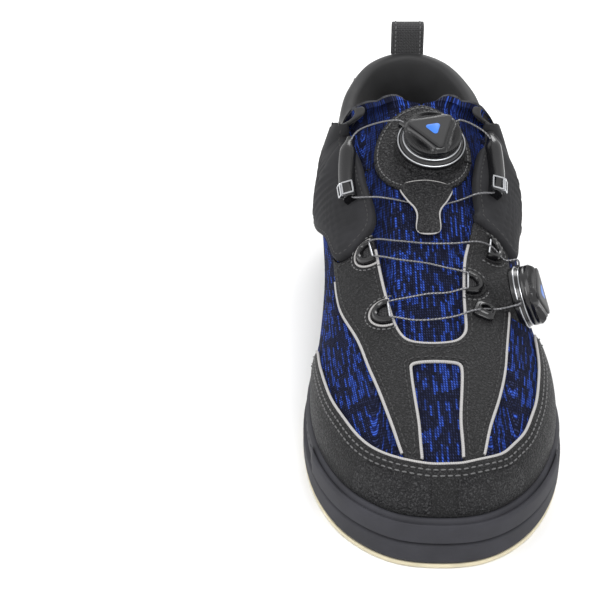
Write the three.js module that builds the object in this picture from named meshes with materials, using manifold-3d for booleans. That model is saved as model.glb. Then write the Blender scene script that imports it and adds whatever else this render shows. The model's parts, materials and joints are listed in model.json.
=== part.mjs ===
// A bowling shoe for the left foot with two twist-dial closures, as an assembly of separate pieces.
// Units are millimetres. The toe points along -Y, the outer (lateral) side along +X, and +Z is up.
// The origin is at the middle of the footprint, on the plane that the shoe stands on.
import * as THREE from 'three';
import { mergeVertices } from 'three/addons/utils/BufferGeometryUtils.js';
import Module from 'manifold-3d';

const wasm = await Module();
wasm.setup();

// ---------------------------------------------------------------- driving dimensions
const shoeLength = 302;          // toe of the sole to heel of the sole
const lastWidth = 100.5;         // width of the upper at the ball, where it meets the sole
const gap = 0.3;                 // running gap between pieces that lie on each other

// sole unit
const padThickness = 1.8;        // changeable slide pad under the forefoot
const heelPadThickness = 5.2;    // changeable brake pad under the heel
const hookThickness = 1.0;       // hook fields that hold the two pads
const hookInset = 7;             // border of rubber left round a hook field
const padBack = -12;             // rear end of the slide pad
const heelPadFront = 74;         // front end of the heel pad
const soleFlare = 5;             // how far the sole stands out past the upper
const rimFlare = 3.2;            // the same, at the rim
const bumperThickness = 1.4;     // toe bumper strip, proud of the sidewall
const bumperBack = -96;          // rear ends of the bumper strip
const rimLap = 3.5;              // height of the rim over the bed of the sole
const cupFloor = 9;              // floor of the cup that holds the midsole
const toeBed = 18.5;             // height of the bed at the toe
const heelBed = 28;              // height of the bed at the heel
const boardThickness = 1.4;
const boardInset = 4.6;
const sockThickness = 3.4;
const sockInset = 6.6;
const shankLength = 96;
const shankWidth = 16;
const shankThickness = 1.2;

// layers of the upper, as distances out (+) or in (-) from the outer face of the knit
const knit = [-1.4, 0];
const stiffener = [-2.8, -1.7];
const tongueLayer = [-4.7, -1.8];
const tongueLiningLayer = [-6, -5];
const liningLayer = [-4.2, -3.1];
const foamLayer = [-7.6, -3.1];
const overlayLayer = [0.3, 1.5];
const toeCapLayer = [0.3, 1.9];
const wingLayer = [0.3, 3.8];
const patchLayer = [-1.4, -0.2];

// twist dials, measured along their own axis from the seat
const housingWall = 2.4;         // wall of the housing, outside the spool
const knobWall = 1.2;            // wall of the knob, outside the housing
const mainDialFoot = 2.6;        // how far the foot of the base stands out past the knob, on the tongue
const sideDialFoot = 0.6;        // the same, on the outer side
const mainDialSpot = [2.2, 31.8];
const sideDialSpot = [37.4, -35.5];
const sideDialHeight = 56.4;
const sideDialAxis = [0.925, -0.12, 0.36];
const mainDialAxis = [0.05, -0.4, 0.91];
const mainDialLift = 2.3;        // height of the seat over the patch, at the middle
const baseRim = 3.9;
const housingRadius = 11.8;
const housingBore = housingRadius - housingWall;
const housingTop = 7.4;
const ratchetWall = 0.7;
const postRadius = 2.4;
const screwRadius = 1.0;
const knobRadius = housingRadius + gap + knobWall;
const mainDialRadius = knobRadius + mainDialFoot;
const sideDialRadius = knobRadius + sideDialFoot;
const knobTop = 10.2;
const knobSkirtLow = 4.3;
const gripDepth = 0.5;
const gripCount = 16;
const popTravel = 2.2;
const plateThickness = 0.7;
const wireRadius = 0.45;
const wireBore = 0.75;
const wireHeight = 2.9;          // height of the wire ports over the seat

// pull loop
const loopWidth = 17;
const loopThickness = 1.4;
const loopRise = 18.6;

// ---------------------------------------------------------------- materials
const material = (color, roughness, metalness = 0) =>
  new THREE.MeshStandardMaterial({ color, roughness, metalness });
const knitBlue = () => material(0x1f2c55, 0.9);
const leather = () => material(0x1e1e20, 0.55);
const wingGrey = () => material(0x38383b, 0.8);
const rubber = () => material(0x35363b, 0.75);
const tan = () => material(0xd2c9a8, 0.95);
const foam = () => material(0x2a2a2d, 0.9);
const mesh = () => material(0x26272b, 0.9);
const board = () => material(0x8a7c66, 0.9);
const hook = () => material(0x17171a, 0.9);
const steel = () => material(0x9ea2a8, 0.35, 1);
const darkPlastic = () => material(0x1b1c1e, 0.35);
const mattePlastic = () => material(0x2b2c2f, 0.7);
const webbing = () => material(0x1a1a1c, 0.85);

const shoe = new THREE.Group();

// ---------------------------------------------------------------- solids
/** Makes a manifold solid from a closed three.js geometry. */
function solidOf(geometry) {
  const bare = geometry.index ? geometry.toNonIndexed() : geometry.clone();
  for (const name of Object.keys(bare.attributes)) {
    if (name !== 'position') bare.deleteAttribute(name);
  }
  const merged = mergeVertices(bare, 1e-4);
  const index = [];
  const source = merged.index.array;
  for (let i = 0; i < source.length; i += 3) {
    const [a, b, c] = [source[i], source[i + 1], source[i + 2]];
    if (a !== b && b !== c && c !== a) index.push(a, b, c);
  }
  return new wasm.Manifold(new wasm.Mesh({
    numProp: 3,
    vertProperties: new Float32Array(merged.attributes.position.array),
    triVerts: new Uint32Array(index),
  }));
}

/** Gives the triangles of a manifold solid back as a geometry. */
function geometryOf(solid) {
  const data = solid.getMesh();
  const geometry = new THREE.BufferGeometry();
  geometry.setAttribute('position', new THREE.BufferAttribute(new Float32Array(data.vertProperties), 3));
  geometry.setIndex(new THREE.BufferAttribute(new Uint32Array(data.triVerts), 1));
  return geometry;
}

/** Keeps only the largest connected body of a solid, so that cutting leaves no crumbs. */
function largest(solid) {
  return solid.decompose().reduce((best, next) => (next.volume() > best.volume() ? next : best));
}

/** Adds one named piece to the shoe, from a geometry or from a solid. */
function add(name, shape, finish) {
  const geometry = shape.isBufferGeometry ? shape : geometryOf(largest(shape));
  geometry.computeVertexNormals();
  const piece = new THREE.Mesh(geometry, finish);
  piece.name = name;
  shoe.add(piece);
}

/** A closed outline through the given points, rounded by a closed curve where smooth is asked for. */
function outline(points, smooth = 0) {
  if (!smooth) return points.map(([x, y]) => new THREE.Vector2(x, y));
  const spots = points.map(([x, y]) => new THREE.Vector3(x, y, 0));
  const curve = new THREE.CatmullRomCurve3(spots, true, 'centripetal');
  return curve.getPoints(smooth).slice(0, -1).map((p) => new THREE.Vector2(p.x, p.y));
}

/** A prism over an outline in the XY plane, between two heights. */
function prism(points, low, high, holes = []) {
  const shape = new THREE.Shape(points);
  shape.holes = holes.map((hole) => new THREE.Path(hole));
  const geometry = new THREE.ExtrudeGeometry(shape, { depth: high - low, bevelEnabled: false });
  return geometry.translate(0, 0, low);
}

/** A prism along X over an outline of [y, z] points. */
function sidePrism(points, from, to) {
  const geometry = prism(points.map(([y, z]) => new THREE.Vector2(y, z)), from, to);
  return geometry.applyMatrix4(new THREE.Matrix4().set(0, 0, 1, 0, 1, 0, 0, 0, 0, 1, 0, 0, 0, 0, 0, 1));
}

/** A closed tube of round section along a list of points. */
function tube(points, radius, steps, sides = 8) {
  const section = new THREE.Shape();
  section.absarc(0, 0, radius, 0, 2 * Math.PI);
  const path = new THREE.CatmullRomCurve3(points, false, 'centripetal');
  const options = { steps, extrudePath: path, bevelEnabled: false, curveSegments: sides };
  return new THREE.ExtrudeGeometry(section, options);
}

// ---------------------------------------------------------------- the shape of the foot
const drawnLength = 302;         // the ribs below are drawn at this length and width
const drawnWidth = 100.5;
const lengthScale = shoeLength / drawnLength;
const widthScale = lastWidth / drawnWidth;
const ridgeSlope = 0.24;         // how steeply the instep climbs

/** Height of the bed of the sole, rising from the toe to the heel. */
function bed(y) {
  const run = THREE.MathUtils.smoothstep(y, -70 * lengthScale, 70 * lengthScale);
  return toeBed + (heelBed - toeBed) * run;
}

// Each rib is one curve from the feather edge at the sole up to the ridge of the vamp or to the topline:
// feather x and y, top x, y and z, lean out at the sole and roll at the top in degrees,
// and the lengths of the two handles as shares of the rib.
const toeRib = [-5, -146, -2.6, -114, 47.3, 5, 0, 0.5, 0.5];
const heelRib = [-2, 146, -2, 146, 99, 13, 100, 0.33, 0.33];
const lateralRibs = [
  [13, -143.5, -2.6, -113, 47.6, 5, 0, 0.5, 0.5],
  [28, -132, -2.5, -110, 48.3, 5, 0, 0.5, 0.5],
  [39.5, -113, -2.4, -103, 50, 6, 0, 0.48, 0.5],
  [47, -88, -2.2, -88, 53.3, 7, 0, 0.46, 0.5],
  [49.2, -60, -2, -66, 59.3, 8, 0, 0.42, 0.52],
  [46, -30, -1.5, -40, 68, 6, 0, 0.4, 0.54],
  [42, 2, -1, -10, 80.5, 12, 0, 0.42, 0.54],
  [39.5, 30, -0.5, 26, 96, 18, 1, 0.44, 0.52],
  [38.5, 48, -0.5, 57, 110, 22, 8, 0.43, 0.48],
  [38, 60, 18, 57, 107.5, 22, 36, 0.4, 0.36],
  [38, 71, 31, 57, 100, 22, 60, 0.38, 0.33],
  [38, 84, 36, 73, 90, 20, 70, 0.36, 0.33],
  [38, 102, 35.5, 97, 82, 13, 84, 0.33, 0.33],
  [35, 122, 31, 121, 88, 10, 96, 0.33, 0.33],
  [22, 140, 18, 139, 96, 12, 98, 0.33, 0.33],
];
const medialRibs = [
  [-22, -142, -2.6, -113, 47.6, 5, 0, 0.5, 0.5],
  [-37, -128, -2.5, -110, 48.3, 5, 0, 0.5, 0.5],
  [-46.5, -107, -2.4, -103, 50, 6, 0, 0.48, 0.5],
  [-51, -82, -2.2, -88, 53.3, 7, 0, 0.46, 0.5],
  [-51, -55, -2, -66, 59.3, 10, 0, 0.42, 0.52],
  [-46.5, -25, -1.5, -40, 68, 18, 0, 0.42, 0.54],
  [-42, 5, -1, -10, 80.5, 26, 0, 0.44, 0.54],
  [-39.5, 32, -0.5, 26, 96, 30, 1, 0.46, 0.52],
  [-39, 49, -0.5, 57, 110, 31, 8, 0.44, 0.48],
  [-39, 60, -21, 57, 107.5, 29, 36, 0.42, 0.38],
  [-39, 71, -35.5, 57, 100, 26, 60, 0.4, 0.35],
  [-39, 84, -40, 73, 90, 22, 70, 0.38, 0.33],
  [-39, 102, -38.5, 97, 82, 14, 84, 0.33, 0.33],
  [-36.5, 122, -34, 121, 88, 10, 96, 0.33, 0.33],
  [-25, 140, -22, 139, 96, 12, 98, 0.33, 0.33],
];
const ribs = [toeRib, ...lateralRibs, heelRib, ...medialRibs.slice().reverse()];
const ridgeRibs = 9;             // ribs of each side, from the toe, that end on the ridge

/** The four control points of one rib. */
function handles(k) {
  const rib = ribs[k];
  const scaled = (x, y, z) => new THREE.Vector3(x * widthScale, y * lengthScale, z);
  const foot = scaled(rib[0], rib[1], bed(rib[1] * lengthScale));
  const top = scaled(rib[2], rib[3], rib[4]);
  const before = ribs[(k + ribs.length - 1) % ribs.length];
  const after = ribs[(k + 1) % ribs.length];
  const outward = new THREE.Vector3(after[1] - before[1], before[0] - after[0], 0).normalize();
  const span = top.distanceTo(foot);
  const lean = THREE.MathUtils.degToRad(rib[5]);
  const roll = THREE.MathUtils.degToRad(rib[6]);
  const low = foot.clone().addScaledVector(outward, rib[7] * span * Math.sin(lean));
  low.z += rib[7] * span * Math.cos(lean);
  const across = new THREE.Vector3(foot.x - top.x, foot.y - top.y, 0);
  const onCollar = rib[6] > 30;
  if (across.length() < 14) across.copy(outward);
  else if (onCollar) across.normalize().add(outward);
  across.normalize();
  const high = top.clone().addScaledVector(across, rib[8] * span * Math.cos(roll));
  high.z += rib[8] * span * (ridgeSlope * Math.cos(roll) * across.y - Math.sin(roll));
  return [foot, low, high, top];
}
const ribHandles = ribs.map((rib, k) => handles(k));

/** The rib curve at a place between ribs, as a cubic Bezier curve. */
function ribAt(u) {
  const count = ribs.length;
  const k = Math.floor(u) % count;
  const s = u - Math.floor(u);
  const points = [0, 1, 2, 3].map((j) => {
    const [a, b, c, d] = [-1, 0, 1, 2].map((step) => ribHandles[(k + step + count) % count][j]);
    const mix = (axis) => 0.5 * (2 * b[axis] + (c[axis] - a[axis]) * s
      + (2 * a[axis] - 5 * b[axis] + 4 * c[axis] - d[axis]) * s * s
      + (3 * b[axis] - a[axis] - 3 * c[axis] + d[axis]) * s * s * s);
    return new THREE.Vector3(mix('x'), mix('y'), mix('z'));
  });
  return points;
}

/** Joins the two sides on the ridge, so that the tops of mirrored ribs are one point. */
function closeRidge(columns, perRib) {
  const last = ridgeRibs * perRib;
  for (let i = 1; i <= last; i += 1) {
    const lateral = columns[i];
    const medial = columns[columns.length - i];
    const middle = lateral[3].clone().add(medial[3]).multiplyScalar(0.5);
    for (const column of [lateral, medial]) {
      column[2].add(middle).sub(column[3]);
      column[3].copy(middle);
    }
  }
  return last;
}

/** The skin of the upper as a welded grid with normals: columns round the foot, rows up the ribs. */
function makeSkin(perRib, rows) {
  const columns = [];
  for (let i = 0; i < ribs.length * perRib; i += 1) columns.push(ribAt(i / perRib));
  const last = closeRidge(columns, perRib);
  const count = columns.length;
  const points = [];
  const ids = columns.map((column, i) => rows.map((t, j) => {
    const onRidge = j === rows.length - 1 && i > count - last - 1;
    if (onRidge) return null;
    points.push(new THREE.CubicBezierCurve3(...column).getPoint(t));
    return points.length - 1;
  }));
  for (let i = count - last; i < count; i += 1) {
    ids[i][rows.length - 1] = ids[count - i][rows.length - 1];
  }
  const faces = [];
  for (let i = 0; i < count; i += 1) {
    const next = ids[(i + 1) % count];
    for (let j = 0; j < rows.length - 1; j += 1) {
      const [a, b, c, d] = [ids[i][j], next[j], next[j + 1], ids[i][j + 1]];
      if (a !== b && b !== c && c !== a) faces.push([a, b, c]);
      if (a !== c && c !== d && d !== a) faces.push([a, c, d]);
    }
  }
  const normals = points.map(() => new THREE.Vector3());
  for (const [a, b, c] of faces) {
    const normal = points[b].clone().sub(points[a]).cross(points[c].clone().sub(points[a]));
    for (const v of [a, b, c]) normals[v].add(normal);
  }
  normals.forEach((normal) => normal.normalize());
  return { points, normals, faces, ids, last, count };
}

const skinRows = [0, 0.13, 0.28, 0.44, 0.62, 0.81, 1];
const skin = makeSkin(2, skinRows);
const fineSkin = makeSkin(4, Array.from({ length: 25 }, (_, j) => j / 24));

/** The loops of vertices that bound the skin: its foot, and the edge of the foot opening. */
function skinEdges() {
  const foot = skin.ids.map((column) => column[0]);
  const top = [];
  for (let i = skin.last; i <= skin.count - skin.last; i += 1) top.push(skin.ids[i][skinRows.length - 1]);
  top.pop();
  return { foot, top };
}

/** Builds an indexed solid from points and faces. */
function solidFrom(points, faces) {
  return new wasm.Manifold(new wasm.Mesh({
    numProp: 3,
    vertProperties: new Float32Array(points.flatMap((p) => [p.x, p.y, p.z])),
    triVerts: new Uint32Array(faces.flat()),
  }));
}

/** A closed shell between two distances from the skin. */
function shell([inner, outer]) {
  const n = skin.points.length;
  const at = (distance) => skin.points.map((p, i) => p.clone().addScaledVector(skin.normals[i], distance));
  const points = [...at(outer), ...at(inner)];
  const faces = [...skin.faces, ...skin.faces.map(([a, b, c]) => [a + n, c + n, b + n])];
  const { foot, top } = skinEdges();
  foot.forEach((a, i) => {
    const b = foot[(i + 1) % foot.length];
    faces.push([a, a + n, b + n], [a, b + n, b]);
  });
  top.forEach((a, i) => {
    const b = top[(i + 1) % top.length];
    faces.push([a, b, b + n], [a, b + n, a + n]);
  });
  return solidFrom(points, faces);
}

/** The upper as one filled block out to a distance from the skin, standing down to a floor. */
function block(distance, floor) {
  const points = skin.points.map((p, i) => p.clone().addScaledVector(skin.normals[i], distance));
  const faces = [...skin.faces];
  const { foot, top } = skinEdges();
  const low = points.length;
  foot.forEach((a) => points.push(new THREE.Vector3(points[a].x, points[a].y, floor)));
  const middle = new THREE.Vector3();
  foot.forEach((a, i) => middle.add(points[low + i]));
  points.push(middle.multiplyScalar(1 / foot.length));
  const hub = points.length - 1;
  foot.forEach((a, i) => {
    const j = (i + 1) % foot.length;
    faces.push([a, low + i, low + j], [a, low + j, foot[j]], [hub, low + j, low + i]);
  });
  const lid = new THREE.Vector3();
  top.forEach((a) => lid.add(points[a]));
  points.push(lid.multiplyScalar(1 / top.length));
  const cover = points.length - 1;
  top.forEach((a, i) => faces.push([a, top[(i + 1) % top.length], cover]));
  return solidFrom(points, faces);
}

/** The point of the skin above (x, y), moved out by a height, with its normal. */
function over(x, y, height = 0) {
  let best = null;
  for (const [a, b, c] of fineSkin.faces) {
    const [p, q, r] = [fineSkin.points[a], fineSkin.points[b], fineSkin.points[c]];
    const area = (q.x - p.x) * (r.y - p.y) - (r.x - p.x) * (q.y - p.y);
    if (area < 1e-9) continue;
    const wb = ((x - p.x) * (r.y - p.y) - (r.x - p.x) * (y - p.y)) / area;
    const wc = ((q.x - p.x) * (y - p.y) - (x - p.x) * (q.y - p.y)) / area;
    const wa = 1 - wb - wc;
    if (Math.min(wa, wb, wc) < -1e-6) continue;
    const z = wa * p.z + wb * q.z + wc * r.z;
    if (best && best.point.z >= z) continue;
    const normal = new THREE.Vector3()
      .addScaledVector(fineSkin.normals[a], wa)
      .addScaledVector(fineSkin.normals[b], wb)
      .addScaledVector(fineSkin.normals[c], wc)
      .normalize();
    best = { point: new THREE.Vector3(x, y, z), normal };
  }
  best.point.addScaledVector(best.normal, height);
  return best;
}


/** The same points, moved in towards the middle of a closed outline (or out, where negative). */
function inset(points, distance) {
  const turn = THREE.ShapeUtils.area(points) > 0 ? 1 : -1;
  return points.map((p, i) => {
    const before = points[(i + points.length - 1) % points.length];
    const after = points[(i + 1) % points.length];
    const first = p.clone().sub(before).normalize();
    const second = after.clone().sub(p).normalize();
    const along = first.add(second).normalize();
    return p.clone().add(new THREE.Vector2(-along.y, along.x).multiplyScalar(turn * distance));
  });
}

/** Points drawn at the drawn size, moved to the size of this shoe. */
const placed = (points) => points.map(([x, y]) => [x * widthScale, y * lengthScale]);
const high = 220;
const wide = 140;
const topSolid = (points, low = -10) => solidOf(prism(points, low, high));
const behind = (y) => topSolid(outline([[-wide, y], [wide, y], [wide, 400], [-wide, 400]]));
const ahead = (y) => topSolid(outline([[-wide, -400], [wide, -400], [wide, y], [-wide, y]]));

// ---------------------------------------------------------------- sole unit
/** A solid stacked from rings round the foot; each level gives a height and how far it stands out. */
function stack(levels) {
  const { foot } = skinEdges();
  const count = foot.length;
  const points = [];
  for (const level of levels) {
    foot.forEach((id, i) => {
      const p = skin.points[id];
      const before = skin.points[foot[(i + count - 1) % count]];
      const after = skin.points[foot[(i + 1) % count]];
      const out = new THREE.Vector3(after.y - before.y, before.x - after.x, 0).normalize();
      const z = typeof level.z === 'function' ? level.z(p.y) : level.z;
      points.push(new THREE.Vector3(p.x, p.y, z).addScaledVector(out, level.out));
    });
  }
  const faces = [];
  for (let k = 0; k < levels.length - 1; k += 1) {
    for (let i = 0; i < count; i += 1) {
      const j = (i + 1) % count;
      const [a, b, c, d] = [k * count + i, k * count + j, (k + 1) * count + j, (k + 1) * count + i];
      faces.push([a, b, c], [a, c, d]);
    }
  }
  // the two ends are closed by ladders of triangles across the foot
  const half = count / 2;
  const topStart = (levels.length - 1) * count;
  const rung = (start, i, flip) => {
    const [a, b] = [start + i, start + i + 1];
    const [c, d] = [start + ((count - i) % count), start + count - i - 1];
    const quad = [[a, b, d], [a, d, c]].filter((f) => new Set(f).size === 3);
    for (const f of quad) faces.push(flip ? [f[0], f[2], f[1]] : f);
  };
  for (let i = 0; i < half; i += 1) {
    rung(0, i, true);
    rung(topStart, i, false);
  }
  return solidFrom(points, faces);
}

const rim = (y) => bed(y) + rimLap;
const padTop = padThickness + gap;
const heelTop = heelPadThickness + gap;
const cavityGap = 0.35;

/** The slide pad and the brake pad under the sole, with the hook fields that hold them. */
function addPads() {
  const whole = stack([{ z: 0, out: soleFlare - 0.9 }, { z: padThickness, out: soleFlare - 0.6 }]);
  add('slide_pad', whole.intersect(ahead(padBack)), tan());
  const heel = stack([{ z: 0, out: soleFlare - 1 }, { z: heelPadThickness, out: soleFlare - 0.6 }]);
  add('heel_brake_pad', heel.intersect(behind(heelPadFront)), rubber());
  const field = (low, from, to) => stack([
    { z: low, out: soleFlare - hookInset }, { z: low + hookThickness, out: soleFlare - hookInset },
  ]).intersect(behind(from)).intersect(ahead(to));
  const back = shoeLength / 2;
  add('forefoot_hook_field', field(padTop, -back, padBack - hookInset), hook());
  add('heel_hook_field', field(heelTop, heelPadFront + hookInset, back), hook());
}

/** The rubber cup sole, with pockets for the hook fields and a cup for the midsole and upper. */
function addOutsole() {
  const side = (grow) => [
    { z: padTop, out: 4 + grow }, { z: 4.2, out: soleFlare + grow }, { z: 11, out: soleFlare + grow },
    { z: 12, out: soleFlare - 1 + grow }, { z: (y) => rim(y) - 1.5, out: soleFlare - 1.2 + grow },
    { z: rim, out: rimFlare + grow },
  ];
  const pocket = (low, from, to) => stack([
    { z: low - 5, out: soleFlare - hookInset + gap },
    { z: low + hookThickness + gap, out: soleFlare - hookInset + gap },
  ]).intersect(behind(from - gap)).intersect(ahead(to + gap));
  const back = shoeLength / 2;
  const behindPad = outline([[-wide, padBack + gap], [wide, padBack + gap], [wide, 400], [-wide, 400]]);
  const arch = solidOf(prism(behindPad, -10, heelTop));
  const sole = stack(side(0))
    .subtract(arch)
    .subtract(block(cavityGap, cupFloor))
    .subtract(pocket(padTop, -back, padBack - hookInset))
    .subtract(pocket(heelTop, heelPadFront + hookInset, back));
  add('outsole_cup', sole, rubber());

  const strip = stack([
    { z: 12.3, out: soleFlare - 0.7 + bumperThickness },
    { z: (y) => rim(y) - 2, out: soleFlare - 0.7 + bumperThickness },
    { z: (y) => rim(y) - 0.6, out: soleFlare - 1.2 + bumperThickness },
  ]);
  const inside = stack([{ z: 5, out: soleFlare - 0.7 }, { z: 60, out: soleFlare - 0.7 }]);
  add('toe_bumper', strip.subtract(inside).intersect(ahead(bumperBack)), rubber());
}

/** A curved strip along the sole, between two heights that follow the bed. */
function soleStrip(from, to, width, low, thickness) {
  const steps = 10;
  const profile = [];
  for (let i = 0; i <= steps; i += 1) {
    const y = from + ((to - from) * i) / steps;
    profile.push([y, bed(y) + low]);
  }
  const back = profile.slice().reverse().map(([y, z]) => [y, z + thickness]);
  return sidePrism([...profile, ...back], -width / 2, width / 2);
}

/** What fills the cup under the foot: midsole, shank, insole board and sockliner. */
function addFoundation() {
  const shankFrom = 18 - shankLength / 2;
  const shankTo = 18 + shankLength / 2;
  const pocket = solidOf(
    soleStrip(shankFrom - gap, shankTo + gap, shankWidth + 2 * gap, -shankThickness - 2 * gap, cupFloor),
  );
  const filler = stack([{ z: cupFloor + gap, out: 0 }, { z: (y) => bed(y) - gap, out: 0 }]).subtract(pocket);
  add('midsole', filler, foam());
  add('shank', soleStrip(shankFrom, shankTo, shankWidth, -gap - shankThickness, shankThickness), steel());
  const slabOn = (low, thickness, inwards) => stack([
    { z: (y) => bed(y) + low, out: -inwards }, { z: (y) => bed(y) + low + thickness, out: -inwards },
  ]);
  add('insole_board', slabOn(0.1, boardThickness, boardInset), board());
  add('sockliner', slabOn(0.1 + boardThickness + gap, sockThickness, sockInset), mesh());
}

// ---------------------------------------------------------------- outlines on the upper, seen from above
const toeLine = outline(placed([
  [42.5, -52], [42.5, -60.5], [41.7, -74], [38.4, -94], [34.8, -106], [30.9, -116], [25.6, -124],
  [19.3, -130.8], [7, -136.3], [-1, -137.3], [-9.2, -137], [-18.4, -134.2], [-27, -128.5], [-33.4, -120.6],
  [-39, -108.5], [-44.4, -92], [-47.8, -71.6], [-49.2, -52], [-49.2, -20], [42.5, -20],
]));
const throatLine = outline(placed([
  [26, 26], [22.3, 10], [19.7, -3.2], [16.3, -18], [13.7, -29.6], [12.2, -49], [11.9, -64.7], [10.7, -69.4],
  [6.6, -73.7], [-3, -75.2], [-12, -73.4], [-16, -68.3], [-18.9, -58], [-22, -38], [-26, -1], [-28.5, 26],
]));
const vampLine = outline(placed([
  [40, 26], [35.1, 0.6], [34.5, -20], [31.8, -46.6], [28.6, -69.5], [25.8, -88], [21.7, -104.4],
  [17, -119], [13, -134], [9, -143], [-12, -143], [-17.6, -133.6], [-21.6, -117.7], [-26, -98.3],
  [-29.5, -83.8], [-33, -67], [-39.7, -42], [-41.8, -14], [-42.3, 11], [-44, 26],
]));
const windowLine = outline(placed([
  [6, -85.6], [8.3, -89.8], [5.8, -116], [4, -141], [-9.2, -141], [-11.2, -116], [-12.6, -90], [-10.8, -85.6],
]));
const tongueLine = outline(placed([
  [32.4, 52], [32.4, 66], [-38, 66], [-38, 52], [-36, 30], [-35, 10], [-31, -37], [-27, -62], [-20, -80],
  [-3, -85], [14, -80], [21, -62], [23, -30], [29, -4], [31, 14], [33, 34],
]));
const openingLine = outline(placed([
  [28, 46], [29, 70], [-33, 70], [-33, 46], [-30, 26], [-27, 0], [-20.8, -38], [-17.6, -57.5],
  [-14.8, -67], [-11.4, -72], [-3, -73.8], [6, -72.4], [9.5, -68.6], [10.6, -64], [11, -49], [12.6, -29.6],
  [15.2, -18], [18.6, -3], [23.5, 16],
]));
const medialWingFront = outline(placed([
  [-26.6, -9], [-27.6, 23], [-31, 40], [-34.5, 46], [-34.5, 60], [-30, 70], [-30, 104], [-70, 104], [-70, -9],
]));
const lateralWingFront = outline(placed([
  [23, -5], [20.6, 2], [20.4, 16], [24, 34], [29, 46], [29, 70], [26, 104], [64, 104], [64, -5],
]));
const wingSide = [
  [-12, 62], [-10, 90], [20, 110], [60, 112], [80, 100], [98, 88], [97, 62], [80, 48], [45, 51], [14, 60],
];
const medialFloor = [[-60, 40], [-20, 50], [10, 62], [30, 70], [30, 130], [-200, 130], [-200, 0], [-60, 0]];
const patchCentre = [-1.2, 32];
const patchRadii = [23, 24.6];
const tailLine = outline(placed([
  [3.6, -15], [4.2, -4], [8.5, 3.4], [9.5, 11], [-11.5, 12], [-10, 4], [-5.4, -4], [-5.9, -15],
]));

const above = stack([{ z: (y) => rim(y) + gap, out: 60 }, { z: high, out: 60 }]);
const sideSolid = (points, from, to) => solidOf(sidePrism(points, from, to));

/** The knit bootie with the opening over the tongue, and what stiffens and lines it. */
function addUpper() {
  add('knit_upper', shell(knit).subtract(topSolid(openingLine, 40)), knitBlue());
  const stiff = shell(stiffener);
  add('toe_puff', stiff.intersect(ahead(-112 * lengthScale)), board());
  const low = sideSolid([[-200, 0], [200, 0], [200, 74], [-200, 74]], -wide, wide);
  add('heel_counter', stiff.intersect(behind(92 * lengthScale)).intersect(low), board());

  const tongueZone = topSolid(tongueLine, 40);
  const roomForTongue = topSolid(inset(tongueLine, -0.6), 40);
  add('tongue', shell(tongueLayer).intersect(tongueZone), knitBlue());
  add('tongue_lining', shell(tongueLiningLayer).intersect(topSolid(inset(tongueLine, 2), 40)), mesh());

  const split = 6;
  const collarZone = (grow) => sideSolid(
    [[54 - grow, 66 - grow], [200, 66 - grow], [200, 160], [54 - grow, 160]], -wide, wide);
  const linings = shell(liningLayer).subtract(roomForTongue);
  add('vamp_lining', linings.intersect(ahead(split)), mesh());
  add('quarter_lining', linings.intersect(behind(split + gap)).subtract(collarZone(gap)), mesh());
  add('collar_foam', shell(foamLayer).intersect(collarZone(0)).subtract(roomForTongue), foam());
}

/** The leather and moulded panels on the outside of the knit. */
function addPanels() {
  const overlay = shell(overlayLayer).intersect(above);
  const toeZone = topSolid(toeLine);
  const rand = shell(toeCapLayer).intersect(above).intersect(ahead(-50 * lengthScale)).subtract(toeZone);
  add('toe_cap', rand, leather());

  const wings = [
    ['medial_wing', medialWingFront, -wide, 0],
    ['lateral_wing', lateralWingFront, 0, wide],
  ];
  const wingShell = shell(wingLayer);
  let wingRoom = null;
  for (const [name, front, from, to] of wings) {
    const zone = sideSolid(wingSide, from, to).intersect(topSolid(front));
    add(name, wingShell.intersect(zone), wingGrey());
    const larger = inset(wingSide.map(([y, z]) => new THREE.Vector2(y, z)), -0.4).map((p) => [p.x, p.y]);
    const room = sideSolid(larger, from, to).intersect(topSolid(inset(front, -0.4)));
    wingRoom = wingRoom ? wingRoom.add(room) : room;
  }
  const vamp = overlay
    .intersect(topSolid(vampLine))
    .intersect(topSolid(inset(toeLine, 0.4)).add(behind(-52 * lengthScale)))
    .intersect(sideSolid(medialFloor, -wide, wide))
    .subtract(topSolid(throatLine))
    .subtract(topSolid(windowLine))
    .subtract(wingRoom);
  add('vamp_overlay', vamp, leather());

  const heelLine = [[112, 20], [118, 62], [130, 94], [142, 104], [170, 110], [170, 20]];
  const heelZone = sideSolid(heelLine, -wide, wide);
  add('heel_overlay', overlay.intersect(heelZone), leather());
}

/** The webbing loop at the heel: a sewn tab, and the free loop that folds back. */
function addPullLoop() {
  const middle = heelRib[2] * widthScale;
  const back = heelRib[3] * lengthScale;
  const top = heelRib[4];
  const tabZone = new THREE.BoxGeometry(loopWidth, 60, 22).translate(middle, back, top - 14);
  add('loop_tab', shell([1.8, 1.8 + loopThickness]).intersect(solidOf(tabZone)), webbing());

  const reach = 4;
  const shape = new THREE.Shape();
  const inner = reach - loopThickness;
  const straight = loopRise - reach;
  shape.moveTo(-reach, 0);
  shape.lineTo(-reach, straight);
  shape.absarc(0, straight, reach, Math.PI, 0, true);
  shape.lineTo(reach, 0);
  shape.lineTo(inner, 0);
  shape.lineTo(inner, straight);
  shape.absarc(0, straight, inner, 0, Math.PI, false);
  shape.lineTo(-inner, 0);
  const loop = new THREE.ExtrudeGeometry(shape, { depth: loopWidth, bevelEnabled: false, curveSegments: 8 });
  loop.applyMatrix4(new THREE.Matrix4().set(0, 0, 1, middle - loopWidth / 2, 1, 0, 0, back + 0.4,
    0, 1, 0, top + 1, 0, 0, 0, 1));
  add('pull_loop', loop, webbing());
}

// ---------------------------------------------------------------- lacing wire
/** A list of points over the skin, each given as x, y and the height of the wire over the skin. */
const route = (points) => points.map(([x, y, height]) => over(x * widthScale, y * lengthScale, height).point);
const wireSteps = 76;
const guideWire = 3.1;           // height of the wire inside the lower guides
const guideTurn = 4.6;           // how far the wire turns round the middle of a guide

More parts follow.
